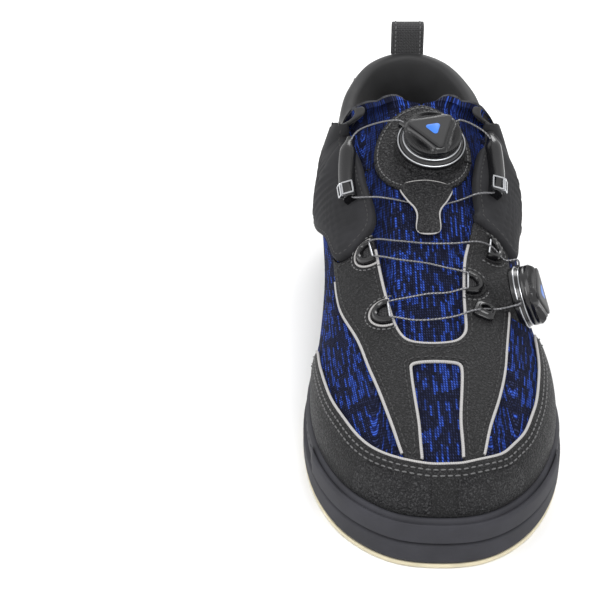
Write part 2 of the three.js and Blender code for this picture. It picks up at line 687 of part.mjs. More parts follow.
const lowerGuides = [
  { name: 'medial_upper_loop_guide', x: -26.4, y: -18.8, side: -1, radius: 6.8 },
  { name: 'medial_lower_loop_guide', x: -20.8, y: -55.8, side: -1, radius: 6.8 },
  { name: 'lateral_upper_loop_guide', x: 25.6, y: -16.4, side: 1, radius: 6.4 },
  { name: 'lateral_middle_loop_guide', x: 14.8, y: -40.6, side: 1, radius: 6.2 },
  { name: 'lateral_lower_loop_guide', x: 20, y: -54.8, side: 1, radius: 5.2 },
];

/** The points of the wire round one lower guide, from its rear side to its front side. */
function roundGuide({ x, y, side }) {
  const turn = [[-0.5, 1], [0.45, 0.85], [1, 0], [0.45, -0.85], [-0.5, -1]];
  return turn.map(([across, along]) => [x + side * across * guideTurn, y + along * guideTurn, guideWire]);
}

// ---------------------------------------------------------------- twist dials
/** A ring or disc turned from a closed profile of [radius, height] points. */
function turned(profile, segments = 20) {
  const points = profile.map(([r, z]) => new THREE.Vector2(r, z));
  if (THREE.ShapeUtils.area(points) < 0) points.reverse();
  if (profile[0][0] > 0) points.push(points[0].clone());
  const geometry = new THREE.LatheGeometry(points, segments);
  return geometry.rotateX(Math.PI / 2);
}

/** The knob cap, with grip grooves round its skirt. */
function knobShape() {
  const ceiling = knobTop - 1.4;
  const segments = gripCount * 2;
  const inner = housingRadius + gap;
  const profile = [
    [0, knobTop], [knobRadius - 3.7, knobTop], [knobRadius - 1.1, knobTop - 0.7], [knobRadius, knobTop - 2],
    [knobRadius, knobSkirtLow], [inner, knobSkirtLow], [inner, ceiling], [0, ceiling],
  ];
  const geometry = turned(profile, segments);
  const position = geometry.attributes.position;
  const grooveFrom = knobRadius - 1.2;
  for (let i = 0; i < position.count; i += 1) {
    const [x, y, z] = [position.getX(i), position.getY(i), position.getZ(i)];
    const radius = Math.hypot(x, y);
    if (radius > grooveFrom && z > knobSkirtLow - 0.1 && radius > inner + 0.1) {
      const slot = Math.round((Math.atan2(y, x) / (2 * Math.PI)) * segments);
      const factor = (radius - (slot % 2 === 0 ? gripDepth : 0)) / radius;
      position.setXY(i, x * factor, y * factor);
    }
  }
  return geometry;
}

/** A toothed ring for the pawls, as an outline with teeth on its inside. */
function toothRing(radius, low, top) {
  const teeth = 12;
  const shape = new THREE.Shape();
  shape.absarc(0, 0, radius, 0, 2 * Math.PI);
  const hole = [];
  for (let i = 0; i < teeth; i += 1) {
    const angle = (i / teeth) * 2 * Math.PI;
    const next = angle + (0.85 / teeth) * 2 * Math.PI;
    hole.push(new THREE.Vector2(Math.cos(angle) * housingBore, Math.sin(angle) * housingBore));
    hole.push(new THREE.Vector2(Math.cos(next) * (housingBore + 0.6), Math.sin(next) * (housingBore + 0.6)));
  }
  shape.holes.push(new THREE.Path(hole));
  return new THREE.ExtrudeGeometry(shape, { depth: top - low, bevelEnabled: false, curveSegments: 10 })
    .translate(0, 0, low);
}

/** The pawl ring that the knob carries: a ring with three sprung fingers. */
function pawlRing(low, top, bore, tip) {
  const shape = new THREE.Shape();
  const body = tip - 2.4;
  const fingers = 3;
  const steps = 8;
  const points = [];
  for (let i = 0; i < fingers * steps; i += 1) {
    const angle = (i / (fingers * steps)) * 2 * Math.PI;
    const place = i % steps;
    const radius = place >= 2 && place <= 3 ? tip - (3 - place) * 0.9 : body;
    points.push(new THREE.Vector2(Math.cos(angle) * radius, Math.sin(angle) * radius));
  }
  shape.setFromPoints(points);
  const hole = new THREE.Path();
  hole.absarc(0, 0, bore, 0, 2 * Math.PI, true);
  shape.holes.push(hole);
  return new THREE.ExtrudeGeometry(shape, { depth: top - low, bevelEnabled: false, curveSegments: 6 })
    .translate(0, 0, low);
}

/** The low rounded triangle on top of the knob. */
function topPlate() {
  const shape = new THREE.Shape();
  const corner = knobRadius - 5.2;
  const round = 2.2;
  for (let i = 0; i < 3; i += 1) {
    const angle = -Math.PI / 2 + (i * 2 * Math.PI) / 3;
    const centre = [Math.cos(angle) * corner, Math.sin(angle) * corner];
    shape.absarc(centre[0], centre[1], round, angle - Math.PI / 3, angle + Math.PI / 3, false);
  }
  return new THREE.ExtrudeGeometry(shape, { depth: plateThickness, bevelEnabled: false, curveSegments: 3 })
    .translate(0, 0, knobTop + gap);
}

/** All the pieces of one dial, placed on its seat; the cuts are what its foot gives way to. */
function addDial(name, seat, cuts, radius) {
  const inPlace = (geometry) => geometry.applyMatrix4(seat);
  const cut = (geometry) => cuts.reduce((solid, other) => solid.subtract(other), solidOf(inPlace(geometry)));
  const floor = 1;
  const well = housingRadius + gap;
  add(`${name}_base`, cut(turned([
    [0, 0], [radius, 0], [radius, 1.6], [radius - 0.8, baseRim], [well, baseRim], [well, floor], [0, floor],
  ])), darkPlastic());

  const cupLow = floor + gap;
  const cupFloorTop = cupLow + 0.8;
  const toothLow = 5.1;
  const toothRadius = housingRadius - ratchetWall - gap;
  add(`${name}_housing`, cut(turned([
    [screwRadius + gap, cupFloorTop], [screwRadius + gap, housingTop], [postRadius, housingTop],
    [postRadius, cupFloorTop], [housingBore, cupFloorTop], [housingBore, toothLow - gap],
    [toothRadius + gap, toothLow - gap], [toothRadius + gap, housingTop], [housingRadius, housingTop],
    [housingRadius, cupLow], [screwRadius + gap, cupLow],
  ])), darkPlastic());
  add(`${name}_ratchet_ring`, inPlace(toothRing(toothRadius, toothLow, housingTop)), steel());

  const bore = postRadius + gap;
  const spoolTop = 4.8;
  const flange = housingBore - 0.4;
  add(`${name}_spool`, inPlace(turned([
    [bore, 2.4], [flange, 2.4], [flange, 2.9], [6, 3.1], [6, 4.1], [flange, 4.3], [flange, spoolTop],
    [bore, spoolTop],
  ])), mattePlastic());
  const sleeve = bore + 0.9;
  const sleeveLine = [[bore, toothLow], [sleeve, toothLow], [sleeve, 7], [bore, 7]];
  add(`${name}_pop_sleeve`, inPlace(turned(sleeveLine, 16)), steel());
  add(`${name}_pawl_ring`, inPlace(pawlRing(toothLow, 6.7, sleeve + gap, housingBore - gap)), darkPlastic());
  const headLow = housingTop + gap;
  add(`${name}_screw`, inPlace(turned([
    [0, 3], [screwRadius, 3], [screwRadius, headLow], [postRadius - 0.2, headLow],
    [postRadius - 0.2, headLow + 0.7], [0, headLow + 0.7],
  ], 10)), steel());
  add(`${name}_knob`, inPlace(knobShape()), darkPlastic());
  add(`${name}_top_plate`, inPlace(topPlate()), mattePlastic());
}

/** The placing of a dial whose axis points along a direction, from a point on its seat. */
function seatMatrix(point, axis) {
  const up = new THREE.Vector3(...axis).normalize();
  const back = new THREE.Vector3(0, 0, 1).addScaledVector(up, -up.z).normalize();
  const right = new THREE.Vector3().crossVectors(back, up).normalize();
  return new THREE.Matrix4().makeBasis(right, back, up).setPosition(point);
}

/** A point given in a dial's own frame, in the frame of the shoe. */
const fromSeat = (seat, x, y, z) => new THREE.Vector3(x, y, z).applyMatrix4(seat);

// ---------------------------------------------------------------- closure: dials, guides and wires
function addClosure() {
  const patchTop = patchLayer[1];
  const mainLift = patchTop + gap + mainDialLift;
  const mainSpot = over(mainDialSpot[0] * widthScale, mainDialSpot[1] * lengthScale, mainLift);
  const mainSeat = seatMatrix(mainSpot.point, mainDialAxis);
  const sideSeat = seatMatrix(new THREE.Vector3(...placed([sideDialSpot])[0], sideDialHeight), sideDialAxis);

  // the patch that carries the main dial, and its tail over the wire
  const disc = new THREE.Shape();
  disc.absellipse(patchCentre[0] * widthScale, patchCentre[1] * lengthScale, patchRadii[0] * widthScale,
    patchRadii[1] * lengthScale, 0, 2 * Math.PI);
  add('dial_patch', shell(patchLayer).intersect(topSolid(disc.getPoints(20).slice(0, -1), 40)), leather());
  add('patch_tail', shell([0.4, 1.6]).intersect(topSolid(tailLine, 40)), leather());

  // wire of the main dial: out on the inner side, through both upper guides, and back on the outer side
  const portReach = housingBore + 0.6;
  const exit = (seat, x, y, reach) => {
    const length = Math.hypot(x, y);
    return fromSeat(seat, (x / length) * reach, (y / length) * reach, wireHeight);
  };
  const outOf = (seat, x, y) => [portReach, 14, mainDialRadius + 3].map((reach) => exit(seat, x, y, reach));
  const wingWire = 6.2;
  const mainRoute = [
    ...outOf(mainSeat, -0.72, 0.7),
    ...route([[-27.5, 45.5, 6.4], [-32, 40.5, wingWire], [-33, 31, wingWire], [-32.8, 21, wingWire],
      [-30.6, 12.6, wingWire], [-26.5, 9.4, 5.2], [-22, 8, 3], [-17, 6.4, 0.6], [-12, 4.4, -0.7],
      [-4, 1, -0.8], [3, 0.6, -0.8], [11, 3.6, -0.7], [15.5, 5.6, 1.2], [19.4, 7.4, 4.6], [22.5, 9.4, 5.4],
      [27, 13, wingWire], [29, 21, wingWire], [29.4, 30, wingWire], [28.4, 40, wingWire], [24.6, 43.5, 6.4]]),
    ...outOf(mainSeat, 0.8, 0.6).reverse(),
  ];
  // wire of the side dial: up to the upper guide, zigzag down the throat, and back to the dial
  const [medialUpper, medialLower, , lateralMiddle] = lowerGuides;
  const sideRoute = [
    ...outOf(sideSeat, 0.84, 0.54),
    ...route([[31, -19, guideWire], [25.6, -16.4, guideWire], [20, -17, guideWire], [9, -20.6, 1.6],
      [-3, -21.4, 1.2], [-15.4, -17.8, 1.8]]),
    ...route(roundGuide(medialUpper)),
    ...route([[-13.4, -28.6, 1.6], [-3, -31.8, 1.2], [5, -34, 1.6]]),
    ...route(roundGuide(lateralMiddle)),
    ...route([[5, -47.4, 1.4], [-3, -48.2, 1.2], [-11.6, -49.6, 1.6]]),
    ...route(roundGuide(medialLower)),
    ...route([[-10, -62.2, 1.4], [-2, -62.4, 1.3], [7.5, -60.4, 1.8], [14.6, -57.2, guideWire],
      [20, -54.8, guideWire], [25.4, -52.6, guideWire]]),
    ...outOf(sideSeat, -0.94, 0.35).reverse(),
  ];
  const wires = [
    ['main_lace_wire', mainRoute], ['side_lace_wire', sideRoute],
  ];
  for (const [name, points] of wires) add(name, tube(points, wireRadius, wireSteps, 2), steel());
  const bores = wires.map(([, points]) => solidOf(tube(points, wireBore, wireSteps, 2)));

  const seatBlock = (seat, radius, low, distance) => {
    const plug = new THREE.CylinderGeometry(radius + 0.4, radius * 0.55, low - gap, 20)
      .rotateX(Math.PI / 2).translate(0, 0, -(low + gap) / 2);
    return solidOf(plug.applyMatrix4(seat)).subtract(block(distance, 0));
  };
  const overOverlay = overlayLayer[1] + gap;
  const mainBlock = seatBlock(mainSeat, mainDialRadius, 12, patchTop + gap);
  const sideBlock = seatBlock(sideSeat, sideDialRadius, 18, overOverlay);
  add('main_dial_seat', mainBlock.subtract(bores[0]), mattePlastic());
  add('side_dial_seat', sideBlock.subtract(bores[1]), mattePlastic());
  addDial('main_dial', mainSeat, [bores[0]], mainDialRadius);
  addDial('side_dial', sideSeat, [bores[1], block(overOverlay, 0)], sideDialRadius);

  // hooded guides on the wings
  const hoods = [
    ['medial_hood_guide', [[-32.2, 42.5], [-33, 31], [-32.6, 18]]],
    ['lateral_hood_guide', [[28.8, 42], [29.4, 30], [28.8, 18]]],
  ];
  for (const [name, points] of hoods) {
    const hood = solidOf(tube(route(points.map(([x, y]) => [x, y, wingWire - 0.9])), 3.6, 8, 3));
    add(name, hood.subtract(block(wingLayer[1] + gap, 0)).subtract(bores[0]), darkPlastic());
  }
  // low loop guides on the vamp overlay
  for (const guide of lowerGuides) {
    const spot = over(guide.x * widthScale, guide.y * lengthScale);
    const turn = new THREE.Matrix4().makeBasis(...basisOf(spot.normal)).setPosition(spot.point);
    const body = new THREE.CylinderGeometry(guide.radius, guide.radius + 0.6, 10.4, 14)
      .rotateX(Math.PI / 2).translate(0, 0, -0.8);
    const eye = new THREE.CylinderGeometry(2.3, 2.3, 30, 8).rotateX(Math.PI / 2);
    const solid = solidOf(body.applyMatrix4(turn))
      .subtract(block(overOverlay, 0))
      .subtract(solidOf(eye.applyMatrix4(turn)))
      .subtract(bores[1]);
    add(guide.name, solid, darkPlastic());
  }
}

/** Three axes with the last along a direction. */
function basisOf(direction) {
  const side = new THREE.Vector3(0, 1, 0).cross(direction).normalize();
  const along = new THREE.Vector3().crossVectors(direction, side);
  return [side, along, direction];
}

addPads();
addOutsole();
addFoundation();
addUpper();
addPanels();
addPullLoop();
addClosure();

// the origin is put under the middle of the finished shoe
const footprint = new THREE.Box3().setFromObject(shoe);
shoe.position.set(-(footprint.min.x + footprint.max.x) / 2, -(footprint.min.y + footprint.max.y) / 2, 0);

export default shoe;
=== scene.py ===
"""A left bowling shoe with two twist dials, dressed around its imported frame.

Every piece lies on one surface, the last: a curve for each rib of the foot, from the sole up to the
ridge of the vamp or the topline. Panels are cut out of that surface and given thickness.
All sizes are in metres. The toe points along -Y and the outer side of the foot along +X.
"""

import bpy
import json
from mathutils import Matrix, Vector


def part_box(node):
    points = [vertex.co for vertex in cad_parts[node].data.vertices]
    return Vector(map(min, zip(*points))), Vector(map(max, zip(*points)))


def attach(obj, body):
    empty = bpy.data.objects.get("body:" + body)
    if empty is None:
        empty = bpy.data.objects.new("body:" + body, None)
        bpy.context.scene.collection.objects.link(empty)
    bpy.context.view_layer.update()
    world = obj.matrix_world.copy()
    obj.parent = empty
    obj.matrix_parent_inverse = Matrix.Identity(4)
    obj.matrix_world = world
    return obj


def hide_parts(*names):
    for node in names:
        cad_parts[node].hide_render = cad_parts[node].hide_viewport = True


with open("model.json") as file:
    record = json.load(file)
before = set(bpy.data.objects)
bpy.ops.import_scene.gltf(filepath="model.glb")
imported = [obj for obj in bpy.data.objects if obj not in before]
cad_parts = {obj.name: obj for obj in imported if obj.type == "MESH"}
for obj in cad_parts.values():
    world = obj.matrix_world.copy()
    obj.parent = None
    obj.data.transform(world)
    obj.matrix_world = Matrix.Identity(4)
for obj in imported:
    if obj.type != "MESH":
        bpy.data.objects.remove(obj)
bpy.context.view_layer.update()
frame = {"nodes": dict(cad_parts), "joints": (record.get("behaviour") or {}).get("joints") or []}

import json
import logging
import math
from dataclasses import dataclass, field
from enum import Enum
from typing import Callable, Sequence

import bpy
import numpy as np
from mathutils import Matrix, Vector
from mathutils.bvhtree import BVHTree

log = logging.getLogger("shoe")
MM = 0.001
Array = np.ndarray
Points = Sequence[Sequence[float]]


class Body(Enum):
    """The bodies that pieces ride on."""

    SHOE = "shoe"
    LOOP = "loop"


# ---------------------------------------------------------------- small geometry helpers
def unit(vectors: Array) -> Array:
    """Scales each row of an array of vectors to length 1."""
    length = np.linalg.norm(vectors, axis=-1, keepdims=True)
    return vectors / np.maximum(length, 1e-12)


def smoothstep(values: Array, low: float, high: float) -> Array:
    """Rises smoothly from 0 at low to 1 at high."""
    t = np.clip((values - low) / (high - low), 0.0, 1.0)
    return t * t * (3 - 2 * t)


def flowing(points: Points, closed: bool = True, steps: int = 10) -> Array:
    """Draws a smooth line through points.

    Args:
        points: The points, of two or three numbers each.
        closed: Whether the line comes back to its first point.
        steps: How many points the line gets for each span.

    Returns:
        The points of the smooth line.
    """
    p = np.asarray(points, float)
    if closed:
        before, here, after, later = np.roll(p, 1, 0), p, np.roll(p, -1, 0), np.roll(p, -2, 0)
    else:
        q = np.vstack([2 * p[0] - p[1], p, 2 * p[-1] - p[-2]])
        before, here, after, later = q[:-3], q[1:-2], q[2:-1], q[3:]
    t = np.linspace(0, 1, steps, endpoint=False)[None, :, None]
    before, here, after, later = (a[:, None, :] for a in (before, here, after, later))
    curve = 0.5 * (2 * here + (after - before) * t + (2 * before - 5 * here + 4 * after - later) * t**2
                   + (3 * here - before - 3 * after + later) * t**3)
    line = curve.reshape(-1, p.shape[1])
    return line if closed else np.vstack([line, p[-1]])


def evenly(line: Array, spacing: float, closed: bool) -> Array:
    """Places points at even steps along a line, whatever the line's own steps are.

    Args:
        line: The points.
        spacing: About how far apart the new points are.
        closed: Whether the line comes back to its first point.

    Returns:
        The evenly spaced points.
    """
    path = np.vstack([line, line[:1]]) if closed else line
    run = np.concatenate([[0], np.cumsum(np.linalg.norm(np.diff(path[:, :3], axis=0), axis=1))])
    count = max(int(round(run[-1] / spacing)), 3)
    at = np.linspace(0, run[-1], count + 1)
    out = np.stack([np.interp(at, run, path[:, k]) for k in range(path.shape[1])], 1)
    return out[:-1] if closed else out


def relaxed(line: Array, closed: bool, rounds: int) -> Array:
    """Evens out a line by moving each point towards the middle of its neighbours.

    Args:
        line: The points.
        closed: Whether the line comes back to its first point.
        rounds: How many times it is smoothed.

    Returns:
        The smoothed points.
    """
    line = line.copy()
    for _ in range(rounds):
        middle = (np.roll(line, 1, 0) + np.roll(line, -1, 0)) / 2
        if not closed:
            middle[0], middle[-1] = line[0], line[-1]
        line = 0.5 * line + 0.5 * middle
    return line


@dataclass
class Shape:
    """A mesh in the making: points, faces, and the cloth direction at each point where it has one."""

    points: Array
    faces: list
    weave: Array | None = None

    def joined(self, other: "Shape") -> "Shape":
        """Returns this shape and another as one."""
        return merged([self, other])


def bands(levels: int, length: int, closed: bool = True, ringed: bool = False) -> list[list[int]]:
    """Joins rows of points into quads.

    Args:
        levels: How many rows there are.
        length: How many points each row has.
        closed: Whether each row comes back to its first point.
        ringed: Whether the last row is joined to the first.

    Returns:
        The quads, row by row.
    """
    faces = []
    for k in range(levels if ringed else levels - 1):
        a, b = k * length, (k + 1) % levels * length
        for i in range(length if closed else length - 1):
            j = (i + 1) % length
            faces.append([a + i, a + j, b + j, b + i])
    return faces


def lids(length: int, top: int, offset: int = 0) -> list[list[int]]:
    """Closes the lowest and the highest row of a shape, joining one side of the foot to the other.

    Args:
        length: How many points each row has.
        top: The number of the highest row's first point.
        offset: 0 where the first point has no partner, and 1 where its partner is the last.

    Returns:
        The faces of both lids.
    """
    faces = []
    for i in range(length // 2):
        far = length - i - offset
        quad = list(dict.fromkeys([i, i + 1, far - 1, far % length]))
        if len(quad) > 2:
            faces += [quad[::-1], [top + j for j in quad]]
    return faces


def merged(shapes: Sequence[Shape]) -> Shape:
    """Joins shapes into one without welding them.

    Args:
        shapes: The shapes.

    Returns:
        One shape that holds them all.
    """
    start, points, faces, weaves = 0, [], [], []
    for shape in shapes:
        points.append(shape.points)
        faces.extend([[start + i for i in f] for f in shape.faces])
        weaves.append(shape.weave if shape.weave is not None else shape.points[:, :2])
        start += len(shape.points)
    return Shape(np.vstack(points), faces, np.vstack(weaves))


def frames_along(line: Array, normals: Array | None, closed: bool) -> tuple[Array, Array]:
    """Finds two directions across a line at each point: sideways, and up along the normals.

    Args:
        line: The points.
        normals: The direction that is up at each point, if it is known.
        closed: Whether the line comes back to its first point.

    Returns:
        The side and the up direction at each point.
    """
    if closed:
        along = unit(np.roll(line, -1, 0) - np.roll(line, 1, 0))
    else:
        along = unit(np.gradient(line, axis=0))
    if normals is None:
        up = np.zeros_like(line)
        guess = np.array([0.0, 0.0, 1.0]) if abs(along[0][2]) < 0.9 else np.array([0.0, 1.0, 0.0])
        for i, direction in enumerate(along):
            guess = guess - direction * np.dot(guess, direction)
            guess /= max(np.linalg.norm(guess), 1e-9)
            up[i] = guess
    else:
        up = unit(normals - along * np.sum(normals * along, 1, keepdims=True))
    return np.cross(along, up), up


def swept(line: Array, section: Array, normals: Array | None = None, closed: bool = False,
          scale: Array | None = None) -> Shape:
    """Sweeps a closed section along a line.

    Args:
        line: The points that the section follows.
        section: Points of the section, as (sideways, up) pairs going round.
        normals: Which way is up at each point of the line.
        closed: Whether the line is a loop.
        scale: How large the section is at each point.

    Returns:
        A closed tube, with caps where the line is open.
    """
    side, up = frames_along(line, normals, closed)
    size = np.ones(len(line)) if scale is None else scale
    count = len(section)
    offsets = (side[:, None, :] * section[None, :, :1] + up[:, None, :] * section[None, :, 1:2])
    points = (line[:, None, :] + offsets * size[:, None, None]).reshape(-1, 3)
    rings = len(line)
    faces = []
    for i in range(rings if closed else rings - 1):
        a, b = i * count, ((i + 1) % rings) * count
        faces.extend([a + j, a + (j + 1) % count, b + (j + 1) % count, b + j] for j in range(count))
    if not closed:
        faces.append(list(range(count))[::-1])
        faces.append([(rings - 1) * count + j for j in range(count)])
    run = np.concatenate([[0], np.cumsum(np.linalg.norm(np.diff(line, axis=0), axis=1))])
    girth = np.concatenate([[0], np.cumsum(np.linalg.norm(np.diff(section, axis=0), axis=1))])
    weave = np.stack(np.broadcast_arrays(girth[None, :], run[:, None]), -1).reshape(-1, 2)
    return Shape(points, faces, weave)


def circle(radius: float, sides: int = 10) -> Array:
    """A round section."""
    angle = np.linspace(0, 2 * math.pi, sides, endpoint=False)
    return np.stack([np.cos(angle), np.sin(angle)], 1) * radius


def strap(width: float, thickness: float, low: float = 0.0, rounding: int = 3) -> Array:
    """A flat section with round edges, lying between low and low + thickness.

    Args:
        width: The width of the strap.
        thickness: Its thickness.
        low: The height of its underside.
        rounding: How many steps each quarter of a turn gets.

    Returns:
        The points of the section.
    """
    radius = thickness / 2
    half = width / 2 - radius
    right = np.linspace(-math.pi / 2, math.pi / 2, rounding * 2 + 1)
    points = [(half + radius * math.cos(a), low + radius + radius * math.sin(a)) for a in right]
    points += [(-half - radius * math.cos(a), low + radius + radius * math.sin(a)) for a in right[::-1]]
    return np.array(points)


def turned(profile: Points, seat: Matrix, segments: int = 72,
           radius_at: Callable[[float, float], float] | None = None) -> Shape:
    """Turns a closed profile of (radius, height) pairs round an axis.

    Args:
        profile: The profile, as (radius, height) pairs going round it.
        seat: The placing of the axis, which is the seat's Z.
        segments: How many steps the turn has.
        radius_at: Gives the change of radius at an angle and a height, where the piece isn't round.

    Returns:
        The turned shape, welded on the axis.
    """
    points, faces, rings = [], [], []
    for radius, height in profile:
        if radius < 1e-6:
            rings.append([len(points)] * segments)
            points.append((0.0, 0.0, height))
            continue
        rings.append(list(range(len(points), len(points) + segments)))
        for k in range(segments):
            angle = 2 * math.pi * k / segments
            r = radius + (radius_at(angle, height) if radius_at else 0.0)
            points.append((r * math.cos(angle), r * math.sin(angle), height))
    for a, b in zip(rings, rings[1:] + rings[:1]):
        for k in range(segments):
            j = (k + 1) % segments
            face = list(dict.fromkeys([a[k], a[j], b[j], b[k]]))
            if len(face) > 2:
                faces.append(face)
    matrix = np.array(seat)
    placed = np.array(points) @ matrix[:3, :3].T + matrix[:3, 3]
    return Shape(placed, faces, np.array(points)[:, :2])


# ---------------------------------------------------------------- pieces of the last's surface
@dataclass
class Patch:
    """A piece of the last's surface, as triangles with exact normals."""

    points: Array
    normals: Array
    weave: Array
    faces: Array

    def split(self, values: Array, both: bool = False) -> "Patch":
        """Cuts the triangles along the line where values are zero.

        Args:
            values: One number for each point, positive on the side that is kept.
            both: Whether the other side is kept too, so that the line is only drawn in.

        Returns:
            The piece with the line as its edge, or drawn in.
        """
        v = np.where(np.abs(values) < 1e-7, 1e-7, values)
        inside = v > 0
        count = inside[self.faces].sum(1)
        whole = self.faces[(count == 3) | (both & (count == 0))]
        mixed = self.faces[(count == 1) | (count == 2)]
        if not len(mixed):
            return self.tidied(whole)
        sides = inside[mixed]
        odd = np.where(sides.sum(1) == 1, sides.argmax(1), (~sides).argmax(1))
        rows = np.arange(len(mixed))
        a, b, c = (mixed[rows, (odd + k) % 3] for k in range(3))
        edges = np.sort(np.concatenate([np.stack([a, b], 1), np.stack([a, c], 1)]), 1)
        keys, inverse = np.unique(edges, axis=0, return_inverse=True)
        inverse = inverse.reshape(-1)
        t = (v[keys[:, 0]] / (v[keys[:, 0]] - v[keys[:, 1]]))[:, None]
        between = [arr[keys[:, 0]] * (1 - t) + arr[keys[:, 1]] * t
                   for arr in (self.points, self.normals, self.weave)]
        ab, ac = len(v) + inverse[:len(a)], len(v) + inverse[len(a):]
        tip = np.stack([a, ab, ac], 1)
        base = np.concatenate([np.stack([ab, b, c], 1), np.stack([ab, c, ac], 1)])
        if not both:
            kept = inside[a]
            tip, base = tip[kept], base[np.concatenate([~kept, ~kept])]
        grown = Patch(np.vstack([self.points, between[0]]), unit(np.vstack([self.normals, between[1]])),
                      np.vstack([self.weave, between[2]]), self.faces)
        return grown.tidied(np.concatenate([whole, tip, base]))

    def tidied(self, faces: Array) -> "Patch":
        """Returns the piece with only these faces and the points they use."""
        used, index = np.unique(faces, return_inverse=True)
        return Patch(self.points[used], self.normals[used], self.weave[used], index.reshape(-1, 3))

    def halved(self) -> "Patch":
        """Splits each triangle into four.

        Returns:
            The finer patch.
        """
        edges = np.sort(np.concatenate([self.faces[:, [0, 1]], self.faces[:, [1, 2]], self.faces[:, [2, 0]]]),
                        1)
        keys, inverse = np.unique(edges, axis=0, return_inverse=True)
        inverse = inverse.reshape(-1)
        middles = [(arr[keys[:, 0]] + arr[keys[:, 1]]) / 2 for arr in (self.points, self.normals, self.weave)]
        # the middle of an edge is lifted onto the curved surface that its two normals describe
        chord = self.points[keys[:, 1]] - self.points[keys[:, 0]]
        turn = self.normals[keys[:, 1]] - self.normals[keys[:, 0]]
        lift = np.sum(chord * turn, 1, keepdims=True) / 8
        middles[0] = middles[0] + unit(middles[1]) * lift
        n, m = len(self.points), len(self.faces)
        ab, bc, ca = (n + inverse[k * m:(k + 1) * m] for k in range(3))
        a, b, c = self.faces.T
        faces = np.concatenate([np.stack(f, 1) for f in ((a, ab, ca), (ab, b, bc), (ca, bc, c),
                (ab, bc, ca))])
        return Patch(np.vstack([self.points, middles[0]]), unit(np.vstack([self.normals, middles[1]])),
                     np.vstack([self.weave, middles[2]]), faces)

    def lines(self, values: Array) -> list[tuple[Array, Array, bool]]:
        """Finds the lines on the surface where values are zero.

        Args:
            values: One number for each point.

        Returns:
            For each line its points, its normals, and whether it is a loop.
        """
        v = np.where(np.abs(values) < 1e-7, 1e-7, values)
        inside = v > 0
        count = inside[self.faces].sum(1)
        mixed = self.faces[(count == 1) | (count == 2)]
        if not len(mixed):
            return []
        sides = inside[mixed]
        odd = np.where(sides.sum(1) == 1, sides.argmax(1), (~sides).argmax(1))
        rows = np.arange(len(mixed))
        a, b, c = (mixed[rows, (odd + k) % 3] for k in range(3))
        edges = np.sort(np.concatenate([np.stack([a, b], 1), np.stack([a, c], 1)]), 1)
        keys, inverse = np.unique(edges, axis=0, return_inverse=True)
        inverse = inverse.reshape(-1)
        t = (v[keys[:, 0]] / (v[keys[:, 0]] - v[keys[:, 1]]))[:, None]
        points = self.points[keys[:, 0]] * (1 - t) + self.points[keys[:, 1]] * t
        normals = unit(self.normals[keys[:, 0]] * (1 - t) + self.normals[keys[:, 1]] * t)
        near: dict[int, list[int]] = {}
        for i, j in zip(inverse[:len(a)].tolist(), inverse[len(a):].tolist()):
            near.setdefault(i, []).append(j)
            near.setdefault(j, []).append(i)
        found = []
        seen: set[int] = set()
        starts = [i for i, n in near.items() if len(n) == 1] + list(near)
        for start in starts:
            if start in seen:
                continue
            chain = [start]
            seen.add(start)
            while True:
                onward = [j for j in near[chain[-1]] if j not in seen]
                if not onward:
                    break
                chain.append(onward[0])
                seen.add(onward[0])
            closed = len(chain) > 2 and chain[0] in near[chain[-1]] and len(near[start]) == 2
            if len(chain) > 5:
                found.append((points[chain], normals[chain], closed))
        return found


Field = Callable[[Patch], Array]


def polygon_distance(points: Array, outline: Array) -> tuple[Array, Array]:
    """Measures how far points are inside a closed outline, in its plane.

    Args:
        points: The points, as (x, y) rows.
        outline: The corners of the outline.

    Returns:
        The distances, positive inside, and the direction in which each one grows.
    """
    best = np.full(len(points), np.inf)
    toward = np.zeros_like(points)
    inside = np.zeros(len(points), bool)
    x, y = points.T
    for p, q in zip(outline, np.roll(outline, -1, 0)):
        edge = q - p
        share = np.clip(((x - p[0]) * edge[0] + (y - p[1]) * edge[1]) / max(edge @ edge, 1e-16), 0, 1)
        dx, dy = x - (p[0] + share * edge[0]), y - (p[1] + share * edge[1])
        squared = dx * dx + dy * dy
        closer = squared < best
        best = np.where(closer, squared, best)
        toward[closer] = np.stack([dx, dy], 1)[closer]
        if p[1] != q[1]:
            crosses = (p[1] > y) != (q[1] > y)
            inside ^= crosses & (x < (q[0] - p[0]) * (y - p[1]) / (q[1] - p[1]) + p[0])
    sign = np.where(inside, 1.0, -1.0)
    return np.sqrt(best) * sign, unit(toward) * sign[:, None]


@dataclass
class Outline:
    """A closed line drawn over the shoe in plan or in side view, and how far a point is inside it."""

    points: Array
    plane: tuple[int, int] = (0, 1)
    facing: int = 0

    def __call__(self, patch: Patch) -> Array:
        """Gives the distance inside the line at each point, measured along the surface.

        Args:
            patch: The surface.

        Returns:
            The distance, for each point of the surface.
        """
        flat = patch.points[:, list(self.plane)]
        distance, direction = polygon_distance(flat, self.points)
        grows = np.zeros_like(patch.points)
        grows[:, list(self.plane)] = direction
        slope = np.sqrt(np.clip(1 - np.sum(grows * patch.normals, 1) ** 2, 0.09, 1))
        result = distance / slope
        if self.facing:
            result = np.where(patch.points[:, 0] * self.facing < 0, -1.0, result)
        return result


def all_of(*fields: Field) -> Field:
    """The part that is inside every one of the fields."""
    return lambda patch: np.minimum.reduce([f(patch) for f in fields])


def any_of(*fields: Field) -> Field:
    """The part that is inside at least one of the fields."""
    return lambda patch: np.maximum.reduce([f(patch) for f in fields])


def outside(inner: Field) -> Field:
    """The part that is outside a field."""
    return lambda patch: -inner(patch)


def grown(inner: Field, distance: float) -> Field:
    """The same part, grown on every side."""
    return lambda patch: inner(patch) + distance


